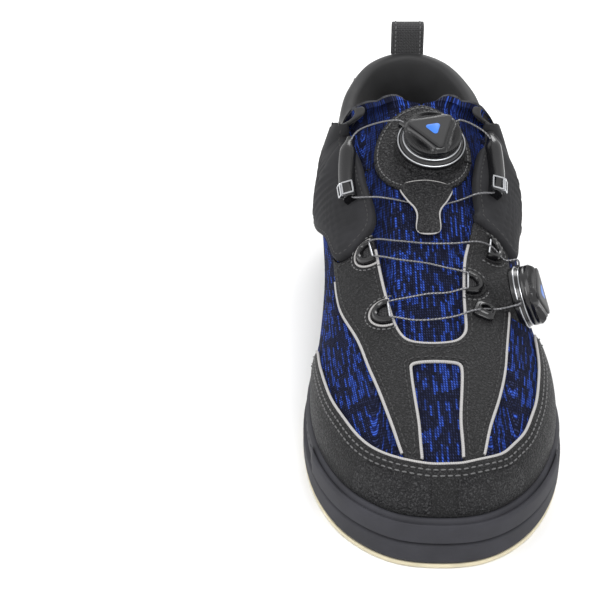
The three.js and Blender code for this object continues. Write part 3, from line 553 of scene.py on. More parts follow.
# ---------------------------------------------------------------- the last
@dataclass
class Last:
    """The surface that the upper is built on, from one curve for each rib of the foot.

    A rib is its feather x and y, its top x, y and z, its lean at the sole and its roll at the top in
    degrees, and the lengths of its two handles as shares of the rib.
    """

    toe_rib: tuple = (-5, -146, -2.6, -114, 47.3, 5, 0, 0.5, 0.5)
    heel_rib: tuple = (-2, 146, -2, 146, 99, 13, 100, 0.33, 0.33)
    lateral_ribs: tuple = (
        (13, -143.5, -2.6, -113, 47.6, 5, 0, 0.5, 0.5),
        (28, -132, -2.5, -110, 48.3, 5, 0, 0.5, 0.5),
        (39.5, -113, -2.4, -103, 50, 6, 0, 0.48, 0.5),
        (47, -88, -2.2, -88, 53.3, 7, 0, 0.46, 0.5),
        (49.2, -60, -2, -66, 59.3, 8, 0, 0.42, 0.52),
        (46, -30, -1.5, -40, 68, 6, 0, 0.4, 0.54),
        (42, 2, -1, -10, 80.5, 12, 0, 0.42, 0.54),
        (39.5, 30, -0.5, 26, 96, 18, 1, 0.44, 0.52),
        (38.5, 48, -0.5, 57, 110, 22, 8, 0.43, 0.48),
        (38, 60, 18, 57, 107.5, 22, 36, 0.4, 0.36),
        (38, 71, 31, 57, 100, 22, 60, 0.38, 0.33),
        (38, 84, 36, 73, 90, 20, 70, 0.36, 0.33),
        (38, 102, 35.5, 97, 82, 13, 84, 0.33, 0.33),
        (35, 122, 31, 121, 88, 10, 96, 0.33, 0.33),
        (22, 140, 18, 139, 96, 12, 98, 0.33, 0.33),
    )
    medial_ribs: tuple = (
        (-22, -142, -2.6, -113, 47.6, 5, 0, 0.5, 0.5),
        (-37, -128, -2.5, -110, 48.3, 5, 0, 0.5, 0.5),
        (-46.5, -107, -2.4, -103, 50, 6, 0, 0.48, 0.5),
        (-51, -82, -2.2, -88, 53.3, 7, 0, 0.46, 0.5),
        (-51, -55, -2, -66, 59.3, 10, 0, 0.42, 0.52),
        (-46.5, -25, -1.5, -40, 68, 18, 0, 0.42, 0.54),
        (-42, 5, -1, -10, 80.5, 26, 0, 0.44, 0.54),
        (-39.5, 32, -0.5, 26, 96, 30, 1, 0.46, 0.52),
        (-39, 49, -0.5, 57, 110, 31, 8, 0.44, 0.48),
        (-39, 60, -21, 57, 107.5, 29, 36, 0.42, 0.38),
        (-39, 71, -35.5, 57, 100, 26, 60, 0.4, 0.35),
        (-39, 84, -40, 73, 90, 22, 70, 0.38, 0.33),
        (-39, 102, -38.5, 97, 82, 14, 84, 0.33, 0.33),
        (-36.5, 122, -34, 121, 88, 10, 96, 0.33, 0.33),
        (-25, 140, -22, 139, 96, 12, 98, 0.33, 0.33),
    )
    ridge_ribs: int = 9
    ridge_slope: float = 0.24
    per_rib: int = 11
    row_count: int = 56
    shank_middle: float = 18 * MM
    toe_bed: float = 18.5 * MM
    heel_bed: float = 28 * MM
    rim_lap: float = 3.5 * MM

    def __post_init__(self) -> None:
        """Finds where the frame holds the last, and samples the surface."""
        low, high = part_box("shank")
        self.shift = np.array([(low.x + high.x) / 2, (low.y + high.y) / 2 - self.shank_middle, 0.0])
        self.ribs = np.array([self.toe_rib, *self.lateral_ribs, self.heel_rib, *self.medial_ribs[::-1]],
                             float)
        self.controls = np.array([self.handles(k) for k in range(len(self.ribs))])
        self.sample()

    def bed(self, y: Array) -> Array:
        """Gives the height of the bed of the sole at a place along the shoe."""
        rise = smoothstep(y - self.shift[1], -70 * MM, 70 * MM)
        return self.toe_bed + (self.heel_bed - self.toe_bed) * rise

    def rim(self, y: Array) -> Array:
        """Gives the height of the rim of the sole."""
        return self.bed(y) + self.rim_lap

    def handles(self, k: int) -> Array:
        """Gives the four control points of one rib.

        Args:
            k: The number of the rib.

        Returns:
            The four points, from the sole up.
        """
        rib, count = self.ribs[k], len(self.ribs)
        foot = np.array([rib[0], rib[1], 0.0]) * MM + self.shift
        foot[2] = self.bed(foot[1])
        top = rib[2:5] * MM + self.shift
        before, after = self.ribs[(k - 1) % count], self.ribs[(k + 1) % count]
        outward = unit(np.array([after[1] - before[1], before[0] - after[0], 0.0]))
        span = np.linalg.norm(top - foot)
        lean, roll = math.radians(rib[5]), math.radians(rib[6])
        low = foot + outward * rib[7] * span * math.sin(lean)
        low[2] += rib[7] * span * math.cos(lean)
        across = (foot - top) * [1, 1, 0]
        if np.linalg.norm(across) < 14 * MM:
            across = outward.copy()
        elif rib[6] > 30:
            across = unit(across) + outward
        across = unit(across)
        high = top + across * rib[8] * span * math.cos(roll)
        high[2] += rib[8] * span * (self.ridge_slope * math.cos(roll) * across[1] - math.sin(roll))
        return np.array([foot, low, high, top])

    def sample(self) -> None:
        """Lays a fine grid over the surface, with columns round the foot and rows up the ribs."""
        count = len(self.ribs) * self.per_rib
        place = np.arange(count) / self.per_rib
        k, s = place.astype(int), (place % 1)[:, None, None]
        a, b, c, d = (self.controls[(k + step) % len(self.ribs)] for step in (-1, 0, 1, 2))
        columns = 0.5 * (2 * b + (c - a) * s + (2 * a - 5 * b + 4 * c - d) * s**2 + (3 * b - a - 3 * c + d)
                         * s**3)
        last = self.ridge_ribs * self.per_rib
        lateral, medial = np.arange(1, last + 1), count - np.arange(1, last + 1)
        middle = (columns[lateral, 3] + columns[medial, 3]) / 2
        for side in (lateral, medial):
            columns[side, 2] += middle - columns[side, 3]
            columns[side, 3] = middle
        t = np.linspace(0, 1, self.row_count)[None, :, None]
        p0, p1, p2, p3 = (columns[:, None, j] for j in range(4))
        grid = p0 * (1 - t)**3 + 3 * p1 * t * (1 - t)**2 + 3 * p2 * t**2 * (1 - t) + p3 * t**3
        x = grid[:, :, 0] - self.shift[0]
        turned_in = np.sign(x) * 0.8 * grid[:, :, 2] * smoothstep(np.abs(x), 15 * MM, 30 * MM)
        weave = np.stack([x - turned_in, grid[:, :, 1]], -1)
        ids = np.arange(count * self.row_count).reshape(count, self.row_count)
        ids[medial, -1] = ids[lateral, -1]
        nxt = np.roll(ids, -1, 0)
        quads = np.stack([ids[:, :-1], nxt[:, :-1], nxt[:, 1:], ids[:, 1:]], -1).reshape(-1, 4)
        faces = np.concatenate([quads[:, [0, 1, 2]], quads[:, [0, 2, 3]]])
        proper = (faces[:, 0] != faces[:, 1]) & (faces[:, 1] != faces[:, 2]) & (faces[:, 2] != faces[:, 0])
        faces = faces[proper]
        points = grid.reshape(-1, 3)
        cross = np.cross(points[faces[:, 1]] - points[faces[:, 0]], points[faces[:, 2]] - points[faces[:, 0]])
        normals = np.zeros_like(points)
        for corner in range(3):
            np.add.at(normals, faces[:, corner], cross)
        normals = unit(normals)
        self.count, self.last_column = count, last
        self.grid = grid
        self.grid_normals = normals[ids]
        self.skin = Patch(points, normals, weave.reshape(-1, 2), faces).tidied(faces)
        self.tree = BVHTree.FromPolygons(points.tolist(), faces.tolist())
        feather = grid[:, 0]
        along = np.roll(feather, -1, 0) - np.roll(feather, 1, 0)
        self.feather = feather
        self.feather_out = unit(np.stack([along[:, 1], -along[:, 0], np.zeros(count)], 1))

    def over(self, x: float, y: float, height: float = 0.0) -> tuple[Array, Array]:
        """Finds the point of the surface above a place, and its normal.

        Args:
            x: Place across the shoe, as drawn.
            y: Place along the shoe, as drawn.
            height: How far the point is lifted along the normal.

        Returns:
            The point and the normal.
        """
        at = np.array([x, y]) + self.shift[:2]
        p, q, r = (self.skin.points[self.skin.faces[:, k]] for k in range(3))
        area = (q[:, 0] - p[:, 0]) * (r[:, 1] - p[:, 1]) - (r[:, 0] - p[:, 0]) * (q[:, 1] - p[:, 1])
        with np.errstate(divide="ignore", invalid="ignore"):
            wb = ((at[0] - p[:, 0]) * (r[:, 1] - p[:, 1]) - (r[:, 0] - p[:, 0]) * (at[1] - p[:, 1])) / area
            wc = ((q[:, 0] - p[:, 0]) * (at[1] - p[:, 1]) - (at[0] - p[:, 0]) * (q[:, 1] - p[:, 1])) / area
        wa = 1 - wb - wc
        hit = (area > 1e-16) & (np.minimum(np.minimum(wa, wb), wc) > -1e-5)
        z = np.where(hit, wa * p[:, 2] + wb * q[:, 2] + wc * r[:, 2], -1.0)
        best = int(np.argmax(z))
        weights = np.array([wa[best], wb[best], wc[best]])
        normal = unit(weights @ self.skin.normals[self.skin.faces[best]])
        return np.array([at[0], at[1], z[best]]) + normal * height, normal

    def struck(self, start: Array, way: Array) -> Array:
        """Finds where a line from a point meets the surface, or the nearest point if it misses."""
        found = self.tree.ray_cast(Vector(start), Vector(way), 40 * MM)[0]
        return np.array(found if found is not None else self.tree.find_nearest(Vector(start))[0])

    def drawn(self, points: Points, smooth: bool = True, plane: tuple[int, int] = (0, 1),
              facing: int = 0) -> Outline:
        """Makes an outline from points in millimetres, drawn on the last in plan or in side view.

        Args:
            points: The points of the outline.
            smooth: Whether a smooth line is drawn through them.
            plane: The two axes that they are drawn in.
            facing: -1 or 1 for one side of the shoe, or 0 for both.

        Returns:
            The outline.
        """
        line = np.asarray(points, float) * MM
        line = flowing(line) if smooth else line
        return Outline(line + self.shift[list(plane)], plane, facing)

    def height_over_rim(self, lap: float) -> Field:
        """The part of the surface that lies more than a lap above the rim of the sole."""
        return lambda patch: patch.points[:, 2] - self.rim(patch.points[:, 1]) - lap


def raised(patch: Patch, area: Field, low: float, top: float, rounding: float = 0.8 * MM,
           relief: Callable[[Patch, Array], Array] | None = None, finer: int = 0) -> Shape:
    """Makes a panel with rounded edges out of a piece of the surface.

    Args:
        patch: The surface that it lies on.
        area: What it covers.
        low: How far its underside is from the surface.
        top: How far its face is from the surface.
        rounding: The radius of its edges.
        relief: Gives the height of what stands on its face, from the patch and the edge distance.
        finer: How many times its triangles are halved.

    Returns:
        The closed panel.
    """
    piece = patch.split(area(patch))
    for _ in range(finer):
        piece = piece.halved()
        piece = piece.split(area(piece))
    for share in (0.12, 0.4, 1.0):
        piece = piece.split(area(piece) - rounding * share, both=True)
    edge = np.clip(area(piece), 0, None)
    bulge = np.sqrt(np.clip(1 - (1 - np.clip(edge / rounding, 0, 1)) ** 2, 0, 1))
    lift = low + (top - low) * bulge
    if relief:
        lift = lift + relief(piece, edge)
    return closed_over(piece, lift, low)


def closed_over(piece: Patch, lift: Array, low: float) -> Shape:
    """Closes a lifted surface with a second one at a constant distance.

    Args:
        piece: The surface.
        lift: How far each of its points is lifted.
        low: How far the second surface is from it.

    Returns:
        The closed shape.
    """
    count = len(piece.points)
    points = np.vstack([piece.points + piece.normals * lift[:, None], piece.points + piece.normals * low])
    directed = np.concatenate([piece.faces[:, [0, 1]], piece.faces[:, [1, 2]], piece.faces[:, [2, 0]]])
    key = directed[:, 0].astype(np.int64) * count + directed[:, 1]
    back = directed[:, 1].astype(np.int64) * count + directed[:, 0]
    rim = directed[~np.isin(key, back)]
    walls = np.stack([rim[:, 1], rim[:, 0], rim[:, 0] + count, rim[:, 1] + count], 1)
    faces = piece.faces.tolist() + (piece.faces[:, ::-1] + count).tolist() + walls.tolist()
    return Shape(points, faces, np.vstack([piece.weave, piece.weave]))


def piping(patch: Patch, values: Array, radius: float, height: float, spacing: float = 1.2 * MM,
           least: float = 20 * MM, keep: Callable[[Array], Array] | None = None) -> Shape:
    """Lays a round cord along the lines where values are zero.

    Args:
        patch: The surface.
        values: One number for each of its points.
        radius: Half the thickness of the cord.
        height: How far its middle is from the surface.
        spacing: The step along the line.
        least: Lines shorter than this get none.
        keep: Says which points of the line carry the cord, where not all do.

    Returns:
        The cords as one shape.
    """
    made = []
    for line, normals, closed in kept_lines(patch, values, spacing, least, keep):
        made.append(swept(line + normals * height, circle(radius, 10), normals, closed))
    return merged(made)


def kept_lines(patch: Patch, values: Array, spacing: float, least: float,
               keep: Callable[[Array], Array] | None) -> list[tuple[Array, Array, bool]]:
    """Finds the lines where values are zero, evened out and cut to what is kept.

    Args:
        patch: The surface.
        values: One number for each of its points.
        spacing: The step along a line.
        least: Lines shorter than this are dropped.
        keep: Says which points of a line are kept, where not all are.

    Returns:
        For each line its points, normals and whether it is a loop.
    """
    found = []
    for points, normals, closed in patch.lines(values):
        both = evenly(np.hstack([points, normals]), spacing, closed)
        if len(both) * spacing < least:
            continue
        both[:, :3] = relaxed(both[:, :3], closed, 3)
        both[:, 3:] = unit(relaxed(both[:, 3:], closed, 6))
        if keep is None:
            found.append((both[:, :3], both[:, 3:], closed))
            continue
        mask = keep(both)
        if mask.all():
            found.append((both[:, :3], both[:, 3:], closed))
            continue
        start = int(np.argmin(mask)) if closed else 0
        both, mask = np.roll(both, -start, 0), np.roll(mask, -start)
        edges = np.flatnonzero(np.diff(np.concatenate([[0], mask.astype(int), [0]])))
        for a, b in zip(edges[::2], edges[1::2]):
            if (b - a) * spacing >= least:
                found.append((both[a:b, :3], both[a:b, 3:], False))
    return found


def stitches(lines: Sequence[tuple[Array, Array, bool]], height: float, pitch: float = 2.9 * MM,
             length: float = 2.1 * MM, thread: float = 0.33 * MM) -> Shape:
    """Sews a row of stitches along each line.

    Args:
        lines: For each row its points, normals and whether it is a loop.
        height: How far the thread's middle is from the surface.
        pitch: From one stitch to the next.
        length: The visible length of a stitch.
        thread: Half the thickness of the thread.

    Returns:
        The stitches as one shape.
    """
    rings = np.array([-1, -0.8, -0.35, 0.35, 0.8, 1.0])
    girth = np.array([0.25, 0.75, 1, 1, 0.75, 0.25])
    section = circle(1.0, 6)
    ring_points = np.concatenate([
        np.stack([np.full(6, r), section[:, 0] * g, section[:, 1] * g - 0.5 * abs(r) ** 3], 1)
        for r, g in zip(rings, girth)])
    faces = bands(6, 6)
    faces += [list(range(6))[::-1], [30 + j for j in range(6)]]
    points, all_faces = [], []
    for line, normals, closed in lines:
        both = evenly(np.hstack([line, normals]), pitch, closed)
        middle, up = both[:, :3], unit(both[:, 3:])
        side, up = frames_along(middle, up, closed)
        along = np.cross(up, side)
        local = ring_points * [length / 2, thread, thread]
        placed = (middle[:, None] + up[:, None] * height + along[:, None] * local[None, :, :1]
                  + side[:, None] * local[None, :, 1:2] + up[:, None] * local[None, :, 2:3])
        for block in placed:
            start = len(points) * 36
            points.append(block)
            all_faces.extend([[start + i for i in f] for f in faces])
    flat = np.concatenate(points)
    return Shape(flat, all_faces, flat[:, :2])


# ---------------------------------------------------------------- finishes
class Graph:
    """A node tree being built, with short ways to add nodes and join them."""

    def __init__(self, tree: bpy.types.NodeTree) -> None:
        """Keeps the tree that the nodes go into."""
        self.tree = tree

    def add(self, kind: str, inputs: dict | None = None, **settings: object) -> bpy.types.Node:
        """Adds a node.

        Args:
            kind: The node's type, without its usual first words.
            inputs: A value or a socket for each named or numbered input.
            **settings: The node's own properties.

        Returns:
            The node.
        """
        node = self.tree.nodes.new("ShaderNode" + kind)
        for name, value in settings.items():
            setattr(node, name, value)
        for name, value in (inputs or {}).items():
            self.feed(node, name, value)
        return node

    def feed(self, node: bpy.types.Node, name: str | int, value: object) -> None:
        """Gives one input of a node a value, or joins it to a socket.

        Args:
            node: The node.
            name: The name or number of its input.
            value: A value or a socket.
        """
        if isinstance(value, bpy.types.NodeSocket):
            self.tree.links.new(value, node.inputs[name])
        else:
            node.inputs[name].default_value = value

    def math(self, operation: str, a: object, b: object = 0.0, clamp: bool = False) -> bpy.types.NodeSocket:
        """Adds a sum of one or two numbers and returns its result."""
        return self.add("Math", {0: a, 1: b}, operation=operation, use_clamp=clamp).outputs[0]

    def blend(self, share: object, first: object, second: object) -> bpy.types.NodeSocket:
        """Mixes two colours and returns the mix.

        Args:
            share: How much of the second colour there is.
            first: The first colour.
            second: The second colour.

        Returns:
            The socket of the mix.
        """
        node = self.add("Mix", {0: share}, data_type="RGBA")
        self.feed(node, 6, first)
        self.feed(node, 7, second)
        return node.outputs[2]

    def stretch(self, value: object, low: float, high: float, start: float = 0.0,
                end: float = 1.0) -> bpy.types.NodeSocket:
        """Maps the range from low to high onto start to end, and returns the result."""
        return self.add("MapRange", {0: value, 1: low, 2: high, 3: start, 4: end}).outputs[0]

    def cloth(self) -> tuple[bpy.types.NodeSocket, bpy.types.NodeSocket]:
        """Returns how far across and how far along the cloth a point is, in metres.

        Returns:
            The two sockets.
        """
        uv = self.add("UVMap", uv_map="weave")
        parts = self.add("SeparateXYZ", {0: uv.outputs[0]})
        return parts.outputs[0], parts.outputs[1]

    def place(self) -> bpy.types.NodeSocket:
        """Returns the point in the object's own space."""
        return self.add("TexCoord").outputs["Object"]


class Effects:
    """The effects that several materials share, each built once as a node group."""

    made: dict[str, bpy.types.NodeTree] = {}

    @classmethod
    def group(cls, name: str, inputs: dict[str, float], outputs: Sequence[str],
              build: Callable[[Graph, Callable[[str], bpy.types.NodeSocket]], dict]) -> bpy.types.NodeTree:
        """Builds a group the first time that it is asked for.

        Args:
            name: The group's name.
            inputs: Its inputs, with what each is if left alone.
            outputs: Its outputs.
            build: Adds the nodes and returns a socket for each output.

        Returns:
            The group.
        """
        if name in cls.made:
            return cls.made[name]
        tree = bpy.data.node_groups.new(name, "ShaderNodeTree")
        for label, value in inputs.items():
            socket = tree.interface.new_socket(label, in_out="INPUT", socket_type="NodeSocketFloat")
            socket.default_value = value
        for label in outputs:
            tree.interface.new_socket(label, in_out="OUTPUT", socket_type="NodeSocketFloat")
        graph = Graph(tree)
        start = tree.nodes.new("NodeGroupInput")
        end = tree.nodes.new("NodeGroupOutput")
        results = build(graph, lambda label: start.outputs[label])
        for label in outputs:
            tree.links.new(results[label], end.inputs[label])
        cls.made[name] = tree
        return tree

    @classmethod
    def knitted(cls) -> bpy.types.NodeTree:
        """Rows of knit loops, some of them in runs of a second yarn.

        Returns:
            The node group.
        """
        def build(g: Graph, given: Callable) -> dict:
            """Lays out the columns, stitches and runs of yarn.

            Args:
                g: The tree of the group.
                given: Gives the socket of an input by its name.

            Returns:
                The socket of each output, by name.
            """
            across, along = g.cloth()
            column = g.math("DIVIDE", across, given("Column"))
            cell = g.math("FLOOR", column)
            side = g.math("FRACT", column)
            slant = g.math("MULTIPLY", side, 0.8)
            row = g.math("ADD", g.math("DIVIDE", along, given("Stitch")), slant)
            part = g.math("FRACT", row)
            round_across = g.math("SINE", g.math("MULTIPLY", side, math.pi))
            round_along = g.math("SINE", g.math("MULTIPLY", part, math.pi))
            loop = g.math("MULTIPLY", round_across, round_along)
            own = g.add("TexWhiteNoise", {"W": cell}, noise_dimensions="1D").outputs[0]
            stretch = g.math("ADD", g.math("DIVIDE", along, given("Run")), g.math("MULTIPLY", own, 9.0))
            spot = g.add("CombineXYZ", {0: cell, 1: g.math("FLOOR", stretch)})
            chance = g.add("TexWhiteNoise", {"Vector": spot.outputs[0]}, noise_dimensions="2D").outputs[0]
            stitch = g.add("CombineXYZ", {0: cell, 1: g.math("FLOOR", row)})
            speck = g.add("TexWhiteNoise", {"Vector": stitch.outputs[0]}, noise_dimensions="2D").outputs[0]
            run = g.math("MULTIPLY", g.math("GREATER_THAN", given("Share"), chance),
                         g.stretch(speck, 0, 1, 0.25, 1.1))
            return {"Run": run, "Loop": loop, "Speck": speck}
        return cls.group("knitted_rows", {"Column": 1.15 * MM, "Stitch": 1.2 * MM, "Run": 11 * MM,
                                          "Share": 0.3},
                         ("Run", "Loop", "Speck"), build)

    @classmethod
    def crumpled(cls) -> bpy.types.NodeTree:
        """Creased leather: folds between flat facets, with fine pores on them.

        Returns:
            The node group.
        """
        def build(g: Graph, given: Callable) -> dict:
            """Lays out the creases and pores.

            Args:
                g: The tree of the group.
                given: Gives the socket of an input by its name.

            Returns:
                The socket of each output, by name.
            """
            place = g.place()
            drift = g.add("TexNoise", {"Vector": place, "Scale": g.math("MULTIPLY", given("Scale"), 0.8),
                                       "Detail": 2.0})
            bent = g.add("VectorMath", {0: drift.outputs["Color"]}, operation="SCALE")
            g.feed(bent, "Scale", g.math("DIVIDE", 0.9, given("Scale")))
            moved = g.add("VectorMath", {0: place, 1: bent.outputs[0]}, operation="ADD").outputs[0]
            cells = g.add("TexVoronoi", {"Vector": moved, "Scale": given("Scale")},
                          feature="DISTANCE_TO_EDGE")
            crease = g.stretch(cells.outputs["Distance"], 0.0, 0.3)
            pores = g.add("TexNoise", {"Vector": place, "Scale": g.math("MULTIPLY", given("Scale"), 3.0),
                                       "Detail": 4.0, "Roughness": 0.65})
            height = g.math("ADD", g.math("MULTIPLY", crease, given("Crease")),
                            g.math("MULTIPLY", pores.outputs[0], 0.8))
            return {"Height": height, "Facet": crease, "Pore": pores.outputs[0]}
        return cls.group("crumpled_leather", {"Scale": 420.0, "Crease": 0.6}, ("Height", "Facet", "Pore"),
                         build)

    @classmethod
    def grained(cls) -> bpy.types.NodeTree:
        """The fine even grain of a moulded surface, with slow changes in how dull it is.

        Returns:
            The node group.
        """
        def build(g: Graph, given: Callable) -> dict:
            """Lays out the grain and the clouds.

            Args:
                g: The tree of the group.
                given: Gives the socket of an input by its name.

            Returns:
                The socket of each output, by name.
            """
            place = g.place()
            fine = g.add("TexNoise", {"Vector": place, "Scale": given("Scale"), "Detail": 3.0})
            slow = g.add("TexNoise", {"Vector": place, "Scale": g.math("DIVIDE", given("Scale"), 30.0),
                                      "Detail": 3.0})
            return {"Grain": fine.outputs[0], "Cloud": slow.outputs[0]}
        return cls.group("moulded_grain", {"Scale": 2600.0}, ("Grain", "Cloud"), build)

    @classmethod
    def woven(cls) -> bpy.types.NodeTree:
        """A plain weave: threads that pass over and under each other.

        Returns:
            The node group.
        """
        def build(g: Graph, given: Callable) -> dict:
            """Lays out the threads of the weave.

            Args:
                g: The tree of the group.
                given: Gives the socket of an input by its name.

            Returns:
                The socket of each output, by name.
            """
            across, along = g.cloth()
            u = g.math("DIVIDE", across, given("Thread"))
            v = g.math("DIVIDE", along, given("Thread"))
            over = g.math("PINGPONG", g.math("ADD", g.math("FLOOR", u), g.math("FLOOR", v)), 1.0)
            first = g.math("SINE", g.math("MULTIPLY", g.math("FRACT", u), math.pi))
            second = g.math("SINE", g.math("MULTIPLY", g.math("FRACT", v), math.pi))
            height = g.add("Mix", {0: over, 2: first, 3: second}, data_type="FLOAT").outputs[0]
            return {"Height": height, "Over": over}
        return cls.group("plain_weave", {"Thread": 0.7 * MM}, ("Height", "Over"), build)

    @classmethod
    def twisted(cls) -> bpy.types.NodeTree:
        """Strands that wind round a cord or a wire.

        Returns:
            The node group.
        """
        def build(g: Graph, given: Callable) -> dict:
            """Lays out the twisted strands.

            Args:
                g: The tree of the group.
                given: Gives the socket of an input by its name.

            Returns:
                The socket of each output, by name.
            """
            across, along = g.cloth()
            turn = g.math("ADD", g.math("DIVIDE", along, given("Pitch")),
                          g.math("DIVIDE", across, given("Girth")))
            wave = g.math("SINE", g.math("MULTIPLY", g.math("FRACT", turn), math.pi))
            return {"Height": wave}
        return cls.group("twisted_strands", {"Pitch": 1.2 * MM, "Girth": 1.0 * MM}, ("Height",), build)


Colour = tuple[float, float, float]


@dataclass(frozen=True)
class Finish:
    """What a material is called and how it looks where nothing varies."""

    name: str
    colour: Colour
    slot: str
    roughness: float = 0.6
    metal: float = 0.0
    coat: float = 0.0
    coat_roughness: float = 0.2
    sheen: float = 0.0
    specular: float = 0.5

    def material(self) -> bpy.types.Material:
        """Returns the material, made the first time that it is asked for.

        Returns:
            The material.
        """
        known = bpy.data.materials.get(self.name)
        if known:
            return known
        made = bpy.data.materials.new(self.name)
        made.use_nodes = True
        graph = Graph(made.node_tree)
        shader = made.node_tree.nodes["Principled BSDF"]
        for socket, value in (("Base Color", (*self.colour, 1)), ("Roughness", self.roughness),
                              ("Metallic", self.metal), ("Coat Weight", self.coat),
                              ("Coat Roughness", self.coat_roughness), ("Sheen Weight", self.sheen),
                              ("Specular IOR Level", self.specular)):
            shader.inputs[socket].default_value = value
        made.diffuse_color = (*self.colour, 1)
        self.detail(graph, shader)
        return made

    def detail(self, g: Graph, shader: bpy.types.Node) -> None:
        """Adds what varies over the surface."""

    def use(self, g: Graph, effect: bpy.types.NodeTree, **values: float) -> bpy.types.Node:
        """Places a shared effect in the material, with its own values.

        Args:
            g: The tree of the material.
            effect: The shared effect.
            **values: A value for each of its inputs.

        Returns:
            The node that holds the effect.
        """
        node = g.add("Group", node_tree=effect)
        for name, value in values.items():
            node.inputs[name].default_value = value
        return node

    def bump(self, g: Graph, shader: bpy.types.Node, height: bpy.types.NodeSocket, depth: float,
             strength: float = 1.0) -> None:
        """Turns a height into the shader's normal."""
        node = g.add("Bump", {"Strength": strength, "Distance": depth, "Height": height})
        g.feed(shader, "Normal", node.outputs[0])


@dataclass(frozen=True)
class KnitFinish(Finish):
    """A close knit with runs of a brighter yarn."""

    yarn: Colour = (0.04, 0.11, 0.56)
    grey: Colour = (0.026, 0.036, 0.1)
    share: float = 0.38
    column: float = 1.05 * MM
    stitch: float = 1.4 * MM
    run: float = 5.5 * MM
    depth: float = 0.28 * MM

    def detail(self, g: Graph, shader: bpy.types.Node) -> None:
        """Colours each loop by its yarn, with painted shade in the gaps, and lets the loops stand out of the
        ground.

        Args:
            g: The tree of the material.
            shader: Its shader.
        """
        rows = self.use(g, Effects.knitted(), Column=self.column, Stitch=self.stitch, Run=self.run,
                        Share=self.share)
        run, loop, speck = (rows.outputs[n] for n in ("Run", "Loop", "Speck"))
        # painted shade: both yarn colours darken towards the gaps between the loop crowns
        dull = g.blend(g.math("MULTIPLY", g.stretch(loop, 0.45, 0.95), speck), (*self.colour, 1),
                       (*self.grey, 1))
        # the dark navy where a run's loops meet is painted shade
        run_yarn_gap_shaded = g.blend(g.stretch(loop, 0.25, 0.95), (0.006, 0.013, 0.09, 1), (*self.yarn, 1))
        g.feed(shader, "Base Color", g.blend(run, dull, run_yarn_gap_shaded))
        self.bump(g, shader, loop, self.depth)


@dataclass(frozen=True)
class LeatherFinish(Finish):
    """Creased leather whose facets shine more than its folds."""

    scale: float = 420.0
    crease: float = 0.6
    depth: float = 0.3 * MM
    # paler colour of the raised pore spots, a painted highlight for the speckled shine
    speck_highlight: Colour = (0.06, 0.06, 0.063)

    def detail(self, g: Graph, shader: bpy.types.Node) -> None:
        """Adds creases, pores, paler high spots painted as highlights, and a changing shine.

        Args:
            g: The tree of the material.
            shader: Its shader.
        """
        skin = self.use(g, Effects.crumpled(), Scale=self.scale, Crease=self.crease)
        pore = skin.outputs["Pore"]
        # painted highlight: the raised pore spots turn paler
        g.feed(shader, "Base Color", g.blend(g.stretch(pore, 0.5, 0.68), (*self.colour, 1), (*self.speck_highlight, 1)))
        g.feed(shader, "Roughness", g.stretch(skin.outputs["Facet"], 0, 1, self.roughness + 0.18,
                self.roughness))
        self.bump(g, shader, skin.outputs["Height"], self.depth)


@dataclass(frozen=True)
class MouldedFinish(Finish):
    """A moulded rubber or plastic with a fine grain and slight clouding."""

    scale: float = 2600.0
    depth: float = 0.04 * MM
    cloud: float = 0.12

    def detail(self, g: Graph, shader: bpy.types.Node) -> None:
        """Adds the grain, and clouds in the colour and the shine.

        Args:
            g: The tree of the material.
            shader: Its shader.
        """
        grain = self.use(g, Effects.grained(), Scale=self.scale)
        cloud = grain.outputs["Cloud"]
        darker = tuple(c * (1 - 2 * self.cloud) for c in self.colour)
        lighter = tuple(c * (1 + 2 * self.cloud) for c in self.colour)
        g.feed(shader, "Base Color", g.blend(g.stretch(cloud, 0.3, 0.7), (*darker, 1), (*lighter, 1)))
        g.feed(shader, "Roughness", g.stretch(cloud, 0.3, 0.7, self.roughness - self.cloud / 2,
                                              self.roughness + self.cloud / 2))
        self.bump(g, shader, grain.outputs["Grain"], self.depth)


@dataclass(frozen=True)
class WovenFinish(Finish):
    """A woven textile or webbing."""

    thread: float = 0.7 * MM
    depth: float = 0.15 * MM
    # paler colour of the thread crests, a painted highlight
    crest_highlight: Colour = (0.1, 0.1, 0.105)

    def detail(self, g: Graph, shader: bpy.types.Node) -> None:
        """Adds the weave and lightens the crests of the threads that lie on top as a painted highlight.

        Args:
            g: The tree of the material.
            shader: Its shader.
        """
        weave = self.use(g, Effects.woven(), Thread=self.thread)
        height = weave.outputs["Height"]
        # painted highlight on the thread crests, darker in the dips between threads
        g.feed(shader, "Base Color", g.blend(g.stretch(height, 0.2, 1.0), (*self.colour, 1),
                (*self.crest_highlight, 1)))
        self.bump(g, shader, height, self.depth)


@dataclass(frozen=True)
class StrandFinish(Finish):
    """A cord or wire of twisted strands."""

    pitch: float = 1.2 * MM
    girth: float = 1.0 * MM
    depth: float = 0.12 * MM
    shade: float = 0.45

    def detail(self, g: Graph, shader: bpy.types.Node) -> None:
        """Adds the strands, with painted shade darkening the grooves between them.

        Args:
            g: The tree of the material.
            shader: Its shader.
        """
        strand = self.use(g, Effects.twisted(), Pitch=self.pitch, Girth=self.girth).outputs[0]
        # painted shade in the grooves between the strands
        deep = tuple(c * self.shade for c in self.colour)
        g.feed(shader, "Base Color", g.blend(strand, (*deep, 1), (*self.colour, 1)))
        self.bump(g, shader, strand, self.depth)


